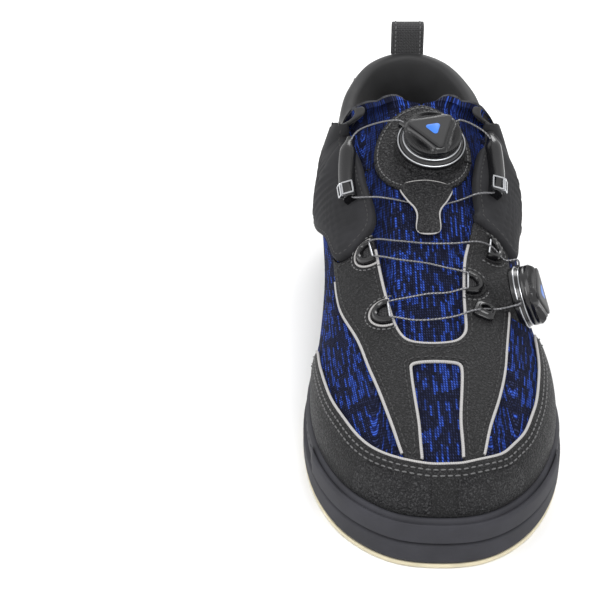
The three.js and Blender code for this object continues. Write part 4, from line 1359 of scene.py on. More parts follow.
KNIT = KnitFinish("blue_knit", (0.003, 0.004, 0.014), "knit", roughness=0.9, specular=0.12)
# the pale specks of both leathers are painted highlights
OVERLAY = LeatherFinish("grained_leather", (0.005, 0.005, 0.0055), "leather", roughness=0.46, scale=560.0,
                        crease=0.4, depth=0.4 * MM, speck_highlight=(0.04, 0.04, 0.042), specular=0.22)
PATCH = LeatherFinish("crumpled_leather", (0.005, 0.005, 0.006), "leather", roughness=0.38, scale=480.0,
                      crease=0.9, depth=0.6 * MM, speck_highlight=(0.055, 0.055, 0.057), specular=0.26)
WING = MouldedFinish("wing_rubber", (0.02, 0.02, 0.022), "wing", roughness=0.72, specular=0.15)
SOLE = MouldedFinish("sole_rubber", (0.03, 0.03, 0.036), "sole", roughness=0.68, scale=1900.0, specular=0.25)
BRAKE = MouldedFinish("brake_rubber", (0.03, 0.03, 0.033), "brake", roughness=0.8, scale=1500.0)
FELT = MouldedFinish("slide_felt", (0.62, 0.56, 0.4), "slide", roughness=0.95, scale=3200.0, depth=0.12 * MM,
                     cloud=0.06, sheen=0.3, specular=0.1)
COLLAR = MouldedFinish("collar_textile", (0.008, 0.008, 0.009), "foam", roughness=0.62, scale=3800.0,
                       depth=0.05 * MM, sheen=0.12)
FOAM = MouldedFinish("midsole_foam", (0.03, 0.03, 0.034), "foam", roughness=0.9, scale=1400.0,
                     depth=0.15 * MM)
# the second colour of each woven finish is a painted highlight on its thread crests
LINING = WovenFinish("spacer_mesh", (0.012, 0.012, 0.015), "lining", roughness=0.9, thread=0.9 * MM,
                     crest_highlight=(0.05, 0.052, 0.06))
BOARD = WovenFinish("fibre_board", (0.22, 0.18, 0.13), "board", roughness=0.95, thread=0.4 * MM,
                    crest_highlight=(0.33, 0.28, 0.21))
HOOK = WovenFinish("hook_tape", (0.01, 0.01, 0.011), "hook", roughness=0.8, thread=1.1 * MM,
                   crest_highlight=(0.035, 0.035, 0.038), depth=0.4 * MM)
WEBBING = WovenFinish("flat_webbing", (0.012, 0.012, 0.013), "webbing", roughness=0.75, thread=0.85 * MM,
                      crest_highlight=(0.05, 0.05, 0.052), depth=0.3 * MM)
PIPING = StrandFinish("grey_piping", (0.4, 0.39, 0.385), "leather", roughness=0.7, pitch=0.9 * MM,
                      girth=1.9 * MM,
                      depth=0.1 * MM, shade=0.75)
THREAD = StrandFinish("grey_thread", (0.13, 0.13, 0.132), "leather", roughness=0.6, pitch=0.5 * MM,
                      girth=0.6 * MM, depth=0.08 * MM, shade=0.5)
BLACK_THREAD = StrandFinish("black_thread", (0.022, 0.022, 0.023), "leather", roughness=0.5, pitch=0.5 * MM,
                            girth=0.6 * MM, depth=0.08 * MM, shade=0.5)
WIRE = StrandFinish("stranded_wire", (0.2, 0.2, 0.21), "wire", roughness=0.36, metal=0.85, pitch=1.6 * MM,
                    girth=0.5 * MM, depth=0.06 * MM)
GLOSS = MouldedFinish("gloss_plastic", (0.005, 0.005, 0.006), "dial_gloss", roughness=0.2, scale=1500.0,
                      depth=0.006 * MM, cloud=0.06, specular=0.6)
MATTE = MouldedFinish("matte_plastic", (0.006, 0.006, 0.007), "dial_matte", roughness=0.5, scale=3000.0,
                      depth=0.03 * MM)
STEEL = MouldedFinish("brushed_metal", (0.55, 0.56, 0.58), "steel", roughness=0.3, metal=1.0, scale=2400.0,
                      depth=0.01 * MM, cloud=0.08)
BLUE_MARK = MouldedFinish("blue_print", (0.03, 0.16, 0.6), "dial_gloss", roughness=0.4, scale=2600.0,
                          depth=0.01 * MM, cloud=0.05)


def build(name: str, shape: Shape, finish: Finish, body: Body | str = Body.SHOE,
          stands_for: Sequence[str] = (),
          crisp: float = 40.0) -> bpy.types.Object:
    """Makes a piece of the shoe out of a shape.

    Args:
        name: The piece's name.
        shape: Its points and faces.
        finish: Its finish.
        body: The body that it rides on.
        stands_for: The nodes that it replaces.
        crisp: Edges sharper than this many degrees stay sharp.

    Returns:
        The piece.
    """
    mesh = bpy.data.meshes.new(name)
    mesh.from_pydata(shape.points.tolist(), [], shape.faces)
    mesh.validate()
    weave = shape.weave if shape.weave is not None else shape.points[:, :2]
    corners = np.zeros(len(mesh.loops), np.int32)
    mesh.loops.foreach_get("vertex_index", corners)
    layer = mesh.uv_layers.new(name="weave")
    layer.data.foreach_set("uv", np.asarray(weave, np.float32)[corners].ravel())
    mesh.polygons.foreach_set("use_smooth", [True] * len(mesh.polygons))
    mesh.set_sharp_from_angle(angle=math.radians(crisp))
    mesh.materials.append(finish.material())
    piece = bpy.data.objects.new(name, mesh)
    bpy.context.scene.collection.objects.link(piece)
    settle(piece, body, stands_for)
    return piece


def settle(piece: bpy.types.Object, body: Body | str, stands_for: Sequence[str]) -> None:
    """Attaches a piece to the body that it rides on and hides the nodes that it replaces.

    Args:
        piece: The piece.
        body: The body that it rides on.
        stands_for: The nodes that it replaces.
    """
    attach(piece, body.value if isinstance(body, Body) else body)
    if stands_for:
        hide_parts(*stands_for)
    log.info("%s: %d faces", piece.name, len(piece.data.polygons))


def dress(finish: Finish, *nodes: str) -> None:
    """Gives a finish to nodes that stay as they are.

    Args:
        finish: The finish.
        *nodes: The nodes that get it.
    """
    for name in nodes:
        node = frame["nodes"][name]
        node.data.materials.clear()
        node.data.materials.append(finish.material())


# ---------------------------------------------------------------- outlines shared by several pieces
@dataclass
class Lines:
    """The lines drawn on the last, in millimetres, that neighbouring panels share."""

    last: Last
    toe: Points = (
        (42.5, -52), (42.5, -60.5), (41.7, -74), (38.4, -94), (34.8, -106), (30.9, -116), (25.6, -124),
        (19.3, -130.8), (7, -136.3), (-1, -137.3), (-9.2, -137), (-18.4, -134.2), (-27, -128.5),
        (-33.4, -120.6),
        (-39, -108.5), (-44.4, -92), (-47.8, -71.6), (-49.2, -52), (-49.2, -20), (42.5, -20))
    throat: Points = (
        (26, 26), (22.3, 10), (19.7, -3.2), (16.3, -18), (13.7, -29.6), (12.2, -49), (11.9, -64.7),
        (10.7, -69.4),
        (6.6, -73.7), (-3, -75.2), (-12, -73.4), (-16, -68.3), (-18.9, -58), (-22, -38), (-26, -1),
        (-28.5, 26))
    vamp: Points = (
        (40, 26), (35.1, 0.6), (34.5, -20), (31.8, -46.6), (28.6, -69.5), (25.8, -88), (21.7, -104.4),
        (17, -119),
        (13, -134), (9, -143), (-12, -143), (-17.6, -133.6), (-21.6, -117.7), (-26, -98.3), (-29.5, -83.8),
        (-33, -67), (-39.7, -42), (-41.8, -14), (-42.3, 11), (-44, 26))
    window: Points = (
        (6, -85.6), (8.3, -89.8), (5.8, -116), (4, -141), (-9.2, -141), (-11.2, -116), (-12.6, -90),
        (-10.8, -85.6))
    tongue: Points = (
        (32.4, 52), (32.4, 66), (-38, 66), (-38, 52), (-36, 30), (-35, 10), (-31, -37), (-27, -62),
        (-20, -80),
        (-3, -85), (14, -80), (21, -62), (23, -30), (29, -4), (31, 14), (33, 34))
    opening: Points = (
        (28, 46), (29, 70), (-33, 70), (-33, 46), (-30, 26), (-27, 0), (-20.8, -38), (-17.6, -57.5),
        (-14.8, -67),
        (-11.4, -72), (-3, -73.8), (6, -72.4), (9.5, -68.6), (10.6, -64), (11, -49), (12.6, -29.6),
        (15.2, -18),
        (18.6, -3), (23.5, 16))
    medial_wing: Points = (
        (-26.6, -9), (-27.6, 23), (-31, 40), (-34.5, 46), (-34.5, 60), (-30, 70), (-30, 104), (-70, 104),
        (-70, -9))
    lateral_wing: Points = (
        (23, -5), (20.6, 2), (20.4, 16), (24, 34), (29, 46), (29, 70), (26, 104), (64, 104), (64, -5))
    wing_side: Points = (
        (-12, 62), (-10, 90), (20, 110), (60, 112), (80, 100), (98, 88), (97, 62), (80, 48), (45, 51),
        (14, 60))
    medial_floor: Points = (
        (-60, 40), (-20, 50), (10, 62), (30, 70), (30, 130), (-200, 130), (-200, 0), (-60, 0))
    heel: Points = ((112, 20), (118, 62), (130, 94), (142, 104), (170, 110), (170, 20))
    tail: Points = ((3.6, -15), (4.2, -4), (8.5, 3.4), (9.5, 11), (-11.5, 12), (-10, 4), (-5.4, -4),
                    (-5.9, -15))
    patch_centre: tuple[float, float] = (-1.2, 32)
    patch_radii: tuple[float, float] = (23, 24.6)

    def plan(self, points: Points) -> Outline:
        """A smooth line seen from above."""
        return self.last.drawn(points)

    def side(self, points: Points, smooth: bool = False, facing: int = 0) -> Outline:
        """A line seen from the side."""
        return self.last.drawn(points, smooth, (1, 2), facing)

    def wing(self, facing: int, grow: float = 0.0) -> Field:
        """One of the two moulded wings; facing is -1 on the inner side and 1 on the outer."""
        front = self.plan(self.medial_wing if facing < 0 else self.lateral_wing)
        return grown(all_of(front, self.side(self.wing_side, True, facing)), grow)

    def high(self) -> Field:
        """What lies clearly above the sole's bed, so that a line in plan can't reach the walls below."""
        return lambda patch: patch.points[:, 2] - 38 * MM

    def patch(self) -> Outline:
        """The round patch that carries the main dial.

        Returns:
            The outline.
        """
        turn = np.linspace(0, 2 * math.pi, 24, endpoint=False)
        round_line = np.stack([self.patch_centre[0] + self.patch_radii[0] * np.cos(turn),
                               self.patch_centre[1] + self.patch_radii[1] * np.sin(turn)], 1)
        return self.plan(round_line)

    def overlay(self) -> Field:
        """The leather overlay over the vamp, with the throat and the toe window cut out of it.

        Returns:
            The area.
        """
        return all_of(self.plan(self.vamp), any_of(self.plan(self.toe), self.behind(-52)),
                      self.side(self.medial_floor), outside(self.plan(self.throat)),
                      outside(self.plan(self.window)), outside(self.wing(-1, 0.4 * MM)),
                      outside(self.wing(1, 0.4 * MM)), self.last.height_over_rim(0.3 * MM))

    def behind(self, y: float) -> Field:
        """What lies behind a line across the shoe."""
        return lambda patch: patch.points[:, 1] - (y * MM + self.last.shift[1])

    def ahead(self, y: float) -> Field:
        """What lies ahead of a line across the shoe."""
        return outside(self.behind(y))


@dataclass
class Upper:
    """The knit bootie with its tongue, linings, collar and stiffeners."""

    last: Last
    lines: Lines
    knit: tuple[float, float] = (-1.2 * MM, 0.0)
    tongue: tuple[float, float] = (-4.7 * MM, -1.6 * MM)
    tongue_lining: tuple[float, float] = (-6 * MM, -4.9 * MM)
    lining: tuple[float, float] = (-4.2 * MM, -3.1 * MM)
    foam_depth: float = 7.4 * MM
    collar_low: float = 66.0
    collar_front: float = 54.0

    def build(self) -> None:
        """Builds every piece of the bootie."""
        self.build_knit()
        self.build_tongue()
        self.build_linings()
        self.build_collar()
        dress(BOARD, "toe_puff", "heel_counter")

    def build_knit(self) -> None:
        """Builds the knit shell, cut open over the tongue."""
        area = outside(all_of(self.lines.plan(self.lines.opening), self.lines.high()))
        shape = raised(self.last.skin, area, *self.knit, rounding=0.6 * MM)
        build("knit_shell", shape, KNIT, stands_for=["knit_upper"])

    def build_tongue(self) -> None:
        """Builds the padded tongue and its mesh lining."""
        area = all_of(self.lines.plan(self.lines.tongue), self.lines.high())
        shape = raised(self.last.skin, area, *self.tongue, rounding=2.2 * MM)
        build("padded_tongue", shape, KNIT, stands_for=["tongue"])
        inner = all_of(grown(self.lines.plan(self.lines.tongue), -2 * MM), self.lines.high())
        build("tongue_mesh", raised(self.last.skin, inner, *self.tongue_lining, rounding=0.5 * MM), LINING,
              stands_for=["tongue_lining"])

    def build_linings(self) -> None:
        """Builds the linings of the vamp and the quarters."""
        room = outside(all_of(grown(self.lines.plan(self.lines.tongue), 0.6 * MM), self.lines.high()))
        split = 6.0
        collar = self.lines.side(((self.collar_front, self.collar_low), (200, self.collar_low), (200, 160),
                                  (self.collar_front, 160)))
        vamp = all_of(room, self.lines.ahead(split))
        quarter = all_of(room, self.lines.behind(split + 0.3), outside(grown(collar, 0.3 * MM)))
        build("vamp_mesh", raised(self.last.skin, vamp, *self.lining, rounding=0.5 * MM), LINING,
              stands_for=["vamp_lining"])
        build("quarter_mesh", raised(self.last.skin, quarter, *self.lining, rounding=0.5 * MM), LINING,
              stands_for=["quarter_lining"])

    def build_collar(self) -> None:
        """Builds the padded collar, rolled over the topline from one side of the tongue to the other."""
        first, end = self.last.last_column, self.last.count - self.last.last_column
        columns = np.arange(first + 15, end - 14)
        rows = self.last.row_count - 1
        sections = []
        for column in columns:
            path, up = self.last.grid[column], self.last.grid_normals[column]
            run = np.concatenate([[0], np.cumsum(np.linalg.norm(np.diff(path, axis=0), axis=1))])
            along = unit(path[rows] - path[rows - 3])
            share = min((column - columns[0]) / 14, (columns[-1] - column) / 14, 1.0)
            plump = 0.55 + 0.45 * math.sin(share * math.pi / 2)
            depth = self.foam_depth * plump
            outer = [(5.5, 0.25), (3.0, 0.45), (1.0, 0.5)]
            inner = [(4.0, 1.02), (10.0, 1.06), (16.0, 1.0), (22.0, 0.78), (27.0, 0.55)]
            ring = []
            for back, lift in outer:
                ring.append(self.at(path, up, run, run[-1] - back * MM, lift * MM))
            middle = path[rows] - up[rows] * depth * 0.46
            for angle in np.linspace(math.pi * 0.52, -math.pi * 0.42, 9):
                reach = depth * 0.54
                ring.append(middle + up[rows] * reach * math.sin(angle) + along * reach * 0.9
                            * math.cos(angle))
            for back, lift in inner:
                ring.append(self.at(path, up, run, run[-1] - back * MM, -depth * lift))
            for back, lift in reversed(inner[:-1]):
                ring.append(self.at(path, up, run, run[-1] - back * MM, -2.9 * MM))
            ring.append(self.at(path, up, run, run[-1] - 5.5 * MM, -1.6 * MM))
            sections.append(ring)
        grid = np.array(sections)
        count, girth = grid.shape[:2]
        faces = bands(count, girth)
        faces.append(list(range(girth))[::-1])
        faces.append([(count - 1) * girth + j for j in range(girth)])
        piece = build("padded_collar", Shape(grid.reshape(-1, 3), faces), COLLAR, stands_for=["collar_foam"])
        rounder = piece.modifiers.new("rounder", "SUBSURF")
        rounder.levels = rounder.render_levels = 1

    def at(self, path: Array, up: Array, run: Array, distance: float, lift: float) -> Array:
        """Gives the point at a distance up a rib, lifted off the surface.

        Args:
            path: The points of the rib.
            up: The normals at them.
            run: How far up the rib each one is.
            distance: How far up the rib the point is.
            lift: How far it is off the surface.

        Returns:
            The point.
        """
        point = np.array([np.interp(distance, run, path[:, k]) for k in range(3)])
        normal = np.array([np.interp(distance, run, up[:, k]) for k in range(3)])
        return point + unit(normal) * lift


@dataclass
class Panels:
    """The leather and moulded panels on the outside of the knit, with their piping and stitching."""

    last: Last
    lines: Lines
    overlay: tuple[float, float] = (0.1 * MM, 1.35 * MM)
    toe_cap: tuple[float, float] = (0.1 * MM, 1.7 * MM)
    wing: tuple[float, float] = (0.2 * MM, 3.5 * MM)
    patch: tuple[float, float] = (-1.5 * MM, -0.1 * MM)
    pipe: float = 0.72 * MM
    emblems: dict = field(default_factory=lambda: {
        "medial": ((-35, -128.5), (-7.4, -138.3), (-7.4, -152), (-42, -140)),
        "lateral": ((2.6, -138.9), (28.2, -129.6), (35, -140), (2.6, -152))})

    def build(self) -> None:
        """Builds every panel."""
        self.build_overlay()
        self.build_toe_cap()
        self.build_wings()
        self.build_heel()
        self.build_patch()

    def build_overlay(self) -> None:
        """Builds the vamp overlay, with piping along its open edges and a stitched border."""
        area = self.lines.overlay()
        build("vamp_leather", raised(self.last.skin, area, *self.overlay, rounding=0.7 * MM), OVERLAY,
              stands_for=["vamp_overlay"])
        values = area(self.last.skin)
        toe = self.lines.plan(self.lines.toe)

        def open_edge(both: Array) -> Array:
            """Says where the edge of the overlay is an open one.

            Args:
                both: The points of the edge, each with its normal.

            Returns:
                Whether each point is on an open edge.
            """
            spot = Patch(both[:, :3], both[:, 3:], both[:, :2], np.zeros((0, 3), int))
            near_toe = np.abs(toe(spot)) < 1.5 * MM
            near_wing = (self.lines.wing(-1, 2.2 * MM)(spot) > 0) | (self.lines.wing(1, 2.2 * MM)(spot) > 0)
            floor = self.lines.side(self.lines.medial_floor)(spot) < 1.5 * MM
            return ~(near_toe | near_wing | floor)
        build("vamp_piping", piping(self.last.skin, values, self.pipe, 0.75 * MM, keep=open_edge), PIPING)
        rows = kept_lines(self.last.skin, values - 2.3 * MM, 1.0 * MM, 12 * MM, None)
        build("vamp_stitching", stitches(rows, self.overlay[1] + 0.05 * MM), BLACK_THREAD)

    def build_toe_cap(self) -> None:
        """Builds the rand round the toe, with piping and two stitched rows along its edge."""
        edge = outside(self.lines.plan(self.lines.toe))
        area = all_of(edge, self.lines.ahead(-50), self.last.height_over_rim(0.1 * MM))
        build("toe_cap_leather", raised(self.last.skin, area, *self.toe_cap, rounding=0.8 * MM), OVERLAY,
              stands_for=["toe_cap"])
        skin = self.last.skin.split(self.lines.ahead(-50)(self.last.skin))
        build("toe_cap_piping", piping(skin, edge(skin), 0.6 * MM, 1.15 * MM), PIPING)
        rows = []
        for inset in (2.6 * MM, 5.2 * MM):
            rows += kept_lines(skin, edge(skin) - inset, 1.0 * MM, 30 * MM, None)
        build("toe_cap_stitching", stitches(rows, self.toe_cap[1] + 0.1 * MM), THREAD)
        for side, corners in self.emblems.items():
            plate = all_of(self.last.drawn(corners, smooth=False), grown(edge, -6.4 * MM),
                           self.last.height_over_rim(2.2 * MM))
            build(f"{side}_toe_emblem", raised(skin, plate, self.toe_cap[1] - 0.2 * MM,
                    self.toe_cap[1] + 0.4 * MM,
                                               rounding=0.4 * MM), PATCH)

    def build_wings(self) -> None:
        """Builds the two wings, with raised ribs along their outer parts and a stitched edge."""
        for name, facing in (("medial_wing", -1), ("lateral_wing", 1)):
            area = self.lines.wing(facing)

            def ribs(piece: Patch, edge: Array, facing: int = facing) -> Array:
                """Gives the height of the ribs of a wing.

                Args:
                    piece: The surface of the wing.
                    edge: How far inside the edge each of its points is.
                    facing: -1 on the inner side and 1 on the outer; not used.

                Returns:
                    The height at each point.
                """
                low = smoothstep(piece.points[:, 2], 84 * MM, 74 * MM)
                slant = piece.points[:, 1] * 0.8 + piece.points[:, 2] * 0.6
                wave = 0.5 + 0.5 * np.sin(slant / (4.2 * MM) * 2 * math.pi)
                return 0.45 * MM * smoothstep(wave, 0.35, 0.8) * low * smoothstep(edge, 4 * MM, 6 * MM)
            shape = raised(self.last.skin, area, *self.wing, rounding=1.6 * MM, relief=ribs, finer=1)
            build(f"{name}_moulding", shape, WING, stands_for=[name])
            rows = kept_lines(self.last.skin, area(self.last.skin) - 2.6 * MM, 1.0 * MM, 20 * MM, None)
            build(f"{name}_stitching", stitches(rows, self.wing[1] - 0.05 * MM), BLACK_THREAD)

    def build_heel(self) -> None:
        """Builds the heel overlay."""
        area = all_of(self.lines.side(self.lines.heel, True), self.last.height_over_rim(0.3 * MM))
        build("heel_leather", raised(self.last.skin, area, *self.overlay, rounding=0.7 * MM), OVERLAY,
              stands_for=["heel_overlay"])
        values = area(self.last.skin)
        build("heel_piping", piping(self.last.skin, values, self.pipe, 0.75 * MM,
                                    keep=lambda both: both[:, 2] > self.last.rim(both[:, 1]) + 2 * MM),
                                    PIPING)
        rows = kept_lines(self.last.skin, values - 2.4 * MM, 1.0 * MM, 12 * MM, None)
        build("heel_stitching", stitches(rows, self.overlay[1] + 0.05 * MM), THREAD)

    def build_patch(self) -> None:
        """Builds the round patch under the main dial and its tail over the wire."""
        disc = self.lines.patch()
        high = self.lines.high()
        build("dial_patch_leather", raised(self.last.skin, all_of(disc, high), *self.patch,
                                           rounding=0.7 * MM), PATCH,
              stands_for=["dial_patch"])
        skin = self.last.skin.split(high(self.last.skin))
        rows = kept_lines(skin, disc(skin) - 2.2 * MM, 1.0 * MM, 20 * MM, None)
        build("dial_patch_stitching", stitches(rows, self.patch[1] + 0.1 * MM, pitch=2.3 * MM,
                length=1.7 * MM),
              THREAD)
        tail = self.lines.plan(self.lines.tail)
        build("patch_tail_leather", raised(self.last.skin, tail, 0.3 * MM, 1.6 * MM, rounding=0.6 * MM),
              PATCH,
              stands_for=["patch_tail"])
        build("patch_tail_piping", piping(skin, tail(skin), 0.45 * MM, 0.9 * MM), PIPING)


@dataclass
class Sole:
    """The sole unit: cup, toe bumper, changeable pads and what fills the cup."""

    last: Last
    flare: float = 5.0 * MM
    rim_flare: float = 3.2 * MM
    pad: float = 1.8 * MM
    heel_pad: float = 5.2 * MM
    gap: float = 0.3 * MM
    pad_back: float = -12.0
    heel_front: float = 74.0
    bumper_back: float = -96.0

    def build(self) -> None:
        """Builds every piece of the sole."""
        self.build_cup()
        self.build_bumper()
        self.build_pads()
        self.build_bed()
        dress(FOAM, "midsole")
        dress(STEEL, "shank")
        dress(BOARD, "insole_board")
        dress(HOOK, "forefoot_hook_field", "heel_hook_field")

    def ring(self, out: Array | float, z: Array | float) -> Array:
        """Gives a ring of points round the foot, standing out from the feather line, at a height.

        Args:
            out: How far the ring stands out, the same all round or for each point.
            z: Its height, likewise.

        Returns:
            The points of the ring.
        """
        ring = self.last.feather + self.last.feather_out * np.broadcast_to(out, (self.last.count,))[:, None]
        ring[:, 2] = z
        return ring

    def loft(self, rings: Sequence[Array]) -> Shape:
        """Joins rings round the foot into one closed shape, ending where it began.

        Args:
            rings: The rings, in order.

        Returns:
            The closed shape.
        """
        count, total = self.last.count, len(rings)
        points = np.vstack(rings)
        faces = bands(total, count, ringed=True)
        run = np.concatenate([[0], np.cumsum(np.linalg.norm(np.diff(self.last.feather, axis=0), axis=1))])
        weave = np.stack([np.tile(run, total), points[:, 2]], 1)
        return Shape(points, faces, weave)

    def build_cup(self) -> None:
        """Builds the cup sole, with the grooves, ridges and dots moulded into its wall."""
        y = self.last.feather[:, 1]
        x = self.last.feather[:, 0]
        rim = self.last.rim(y)
        foot_line = self.pad + self.gap
        heel = smoothstep(y, (self.pad_back - 1) * MM, (self.pad_back + 1) * MM)
        floor = foot_line + (self.heel_pad - self.pad) * heel
        run = np.concatenate([[0], np.cumsum(np.linalg.norm(np.diff(self.last.feather, axis=0), axis=1))])
        side = smoothstep(x, 20 * MM, 34 * MM) * smoothstep(y, -100 * MM, -70 * MM) * smoothstep(y, 110 * MM,
                80 * MM)
        rings = []
        heights = np.linspace(0, 1, 30)
        for share in heights:
            z = floor + (rim - floor) * share
            level = z - floor
            out = self.flare - 1.3 * MM * smoothstep(z, 10.8 * MM, 12.0 * MM)
            out = out - (1.2 * MM) * smoothstep(rim - z, 1.8 * MM, 0.0)
            out = out - 0.9 * MM * smoothstep(level, 1.6 * MM, 0.0)
            groove = np.exp(-((z - 11.6 * MM) / (0.55 * MM)) ** 2)
            thin = np.exp(-((rim - z - 3.0 * MM) / (0.4 * MM)) ** 2)
            ridges = np.abs(np.sin((z - 12.5 * MM) / (2.1 * MM) * math.pi)) * side
            ridges = ridges * smoothstep(z, 12.4 * MM, 13.2 * MM) * smoothstep(rim - z, 3.2 * MM, 4.4 * MM)
            out = out - 0.6 * MM * groove - 0.35 * MM * thin + 0.7 * MM * ridges
            rings.append(self.ring(out, z))
        lip = rings[-1]
        rings.append(self.ring(self.rim_flare - 1.4 * MM, rim + 0.25 * MM))
        rings.append(self.ring(0.4 * MM, rim))
        rings.append(self.ring(0.3 * MM, rim - 6 * MM))
        rings.append(self.ring(0.3 * MM, 9 * MM))
        base = self.base(self.ring(0.3 * MM, 9 * MM), 9 * MM)
        rings.append(self.ring(-0.2 * MM, floor))
        shape = self.loft(rings)
        under = self.base(self.ring(self.flare - 0.9 * MM, floor), None)
        build("cup_sole", merged([shape, base, under]), SOLE, stands_for=["outsole_cup"], crisp=50)
        self.build_dots(lip, run)

    def base(self, ring: Array, height: float | None) -> Shape:
        """Closes the sole with a plate, flat or at the heights of its ring, 0.6 mm thick.

        Args:
            ring: The outline of the plate.
            height: Its height, or None to follow the ring.

        Returns:
            The closed plate.
        """
        count = len(ring)
        low = ring.copy()
        if height is not None:
            low[:, 2] = height
        top = low + [0, 0, 0.6 * MM]
        points = np.vstack([low, top])
        faces = lids(count, count)
        faces += [[i, (i + 1) % count, count + (i + 1) % count, count + i] for i in range(count)]
        return Shape(points, faces)

    def build_dots(self, lip: Array, run: Array) -> None:
        """Builds the row of small studs along the line under the rim.

        Args:
            lip: The points along the rim.
            run: How far round the foot each one is.
        """
        pitch = 5.5 * MM
        made = []
        for distance in np.arange(0, run[-1], pitch):
            i = int(np.searchsorted(run, distance))
            i = min(i, len(lip) - 1)
            centre = lip[i] + self.last.feather_out[i] * 1.1 * MM - [0, 0, 4.4 * MM]
            outward = Vector(self.last.feather_out[i])
            seat = Matrix.Translation(centre) @ outward.to_track_quat("Z", "Y").to_matrix().to_4x4()
            made.append(turned([(0, -0.4 * MM), (0.75 * MM, -0.4 * MM), (0.6 * MM, 0.25 * MM), (0, 0.4 * MM)],
                               seat, 10))
        build("rim_studs", merged(made), SOLE)

    def build_bumper(self) -> None:
        """Builds the raised strip round the toe."""
        y = self.last.feather[:, 1]
        rim = self.last.rim(y)
        inner = self.flare - 0.9 * MM
        columns = np.flatnonzero(y < self.bumper_back * MM + self.last.shift[1])
        order = np.argsort((columns + self.last.count // 2) % self.last.count)
        columns = columns[order]
        section = []
        low, high = 12.4 * MM, rim - 1.0 * MM
        thick = 1.5 * MM
        for share, out in ((0.0, 0.0), (0.0, 0.55), (0.06, 0.95), (0.3, 1.0), (0.5, 1.0), (0.75, 1.0),
                           (0.92, 0.9),
                           (1.0, 0.45), (1.0, 0.0)):
            ends = np.ones(self.last.count)
            section.append(self.ring(inner + thick * out * ends, low + (high - low) * share))
        grid = np.array(section)[:, columns]
        levels, length = grid.shape[:2]
        fade = np.minimum(np.arange(length), np.arange(length)[::-1]) / 3.0
        base = grid[0:1]
        grid = np.where((fade < 1)[None, :, None], base * [1, 1, 0] + (grid * [1, 1, 0] - base * [1, 1, 0])
                        * np.clip(fade, 0.25, 1)[None, :, None] + grid * [0, 0, 1], grid)
        faces = bands(levels, length, closed=False)
        faces += [[(levels - 1) * length + i, (levels - 1) * length + i + 1, i + 1, i]
                  for i in range(length - 1)]
        faces.append([k * length for k in range(levels)])
        faces.append([k * length + length - 1 for k in range(levels)][::-1])
        build("toe_bumper_strip", Shape(grid.reshape(-1, 3), faces), SOLE, stands_for=["toe_bumper"])

    def build_pads(self) -> None:
        """Builds the slide pad and the brake pad."""
        for name, node, finish, height in (("slide_pad_felt", "slide_pad", FELT, self.pad),
                                           ("brake_pad_rubber", "heel_brake_pad", BRAKE, self.heel_pad)):
            y = self.last.feather[:, 1]
            limit = (self.pad_back if node == "slide_pad" else self.heel_front) * MM + self.last.shift[1]
            keep = np.flatnonzero(y < limit if node == "slide_pad" else y > limit)
            start = int(np.flatnonzero(np.diff(np.concatenate([keep,
                    keep[:1] + self.last.count])) > 1)[0]) + 1
            keep = np.roll(keep, -start)
            rings = []
            for out, z in ((-0.9, 0.0), (-0.5, 0.15), (-0.35, 0.5), (-0.35, height / MM - 0.4),
                           (-0.6, height / MM)):
                ring = self.ring(self.flare + out * MM, z * MM)[keep]
                ring[0, 1] = ring[-1, 1] = limit
                rings.append(ring)
            length = len(keep)
            points = np.vstack(rings)
            faces = bands(len(rings), length)
            faces += lids(length, (len(rings) - 1) * length, offset=1)
            build(name, Shape(points, faces), finish, stands_for=[node])

    def build_bed(self) -> None:
        """Builds the sockliner, cupped a little at its edge."""
        y = self.last.feather[:, 1]
        bed = self.last.bed(y)
        low = 0.1 * MM + 1.4 * MM + self.gap
        rings = []
        for inset, lift in ((6.6, low), (6.4, low + 2.6 * MM), (6.9, low + 3.6 * MM), (8.5, low + 3.5 * MM),
                            (12.0, low + 3.0 * MM)):
            rings.append(self.ring(-inset * MM, bed + lift))
        count = self.last.count
        points = np.vstack(rings)
        faces = bands(len(rings), count)
        faces += lids(count, (len(rings) - 1) * count)
        piece = build("cupped_sockliner", Shape(points, faces), LINING, stands_for=["sockliner"])


# ---------------------------------------------------------------- dials
def threaded(points: Points, steps: int = 10) -> Array:
    """Draws a smooth open line through unevenly spaced points, without swinging past them.

    Args:
        points: The points that the line goes through.
        steps: How many points the line gets for each span.

    Returns:
        The points of the line.
    """
    p = np.asarray(points, float)
    p = np.vstack([2 * p[0] - p[1], p, 2 * p[-1] - p[-2]])
    knots = np.concatenate([[0], np.cumsum(np.sqrt(np.linalg.norm(np.diff(p, axis=0), axis=1)))])
    line = []
    for i in range(1, len(p) - 2):
        t0, t1, t2, t3 = knots[i - 1:i + 3]
        t = np.linspace(t1, t2, steps, endpoint=False)[:, None]
        a1 = ((t1 - t) * p[i - 1] + (t - t0) * p[i]) / (t1 - t0)
        a2 = ((t2 - t) * p[i] + (t - t1) * p[i + 1]) / (t2 - t1)
        a3 = ((t3 - t) * p[i + 1] + (t - t2) * p[i + 2]) / (t3 - t2)
        b1 = ((t2 - t) * a1 + (t - t0) * a2) / (t2 - t0)
        b2 = ((t3 - t) * a2 + (t - t1) * a3) / (t3 - t1)
        line.append(((t2 - t) * b1 + (t - t1) * b2) / (t2 - t1))
    return np.vstack(line + [p[-2:-1]])


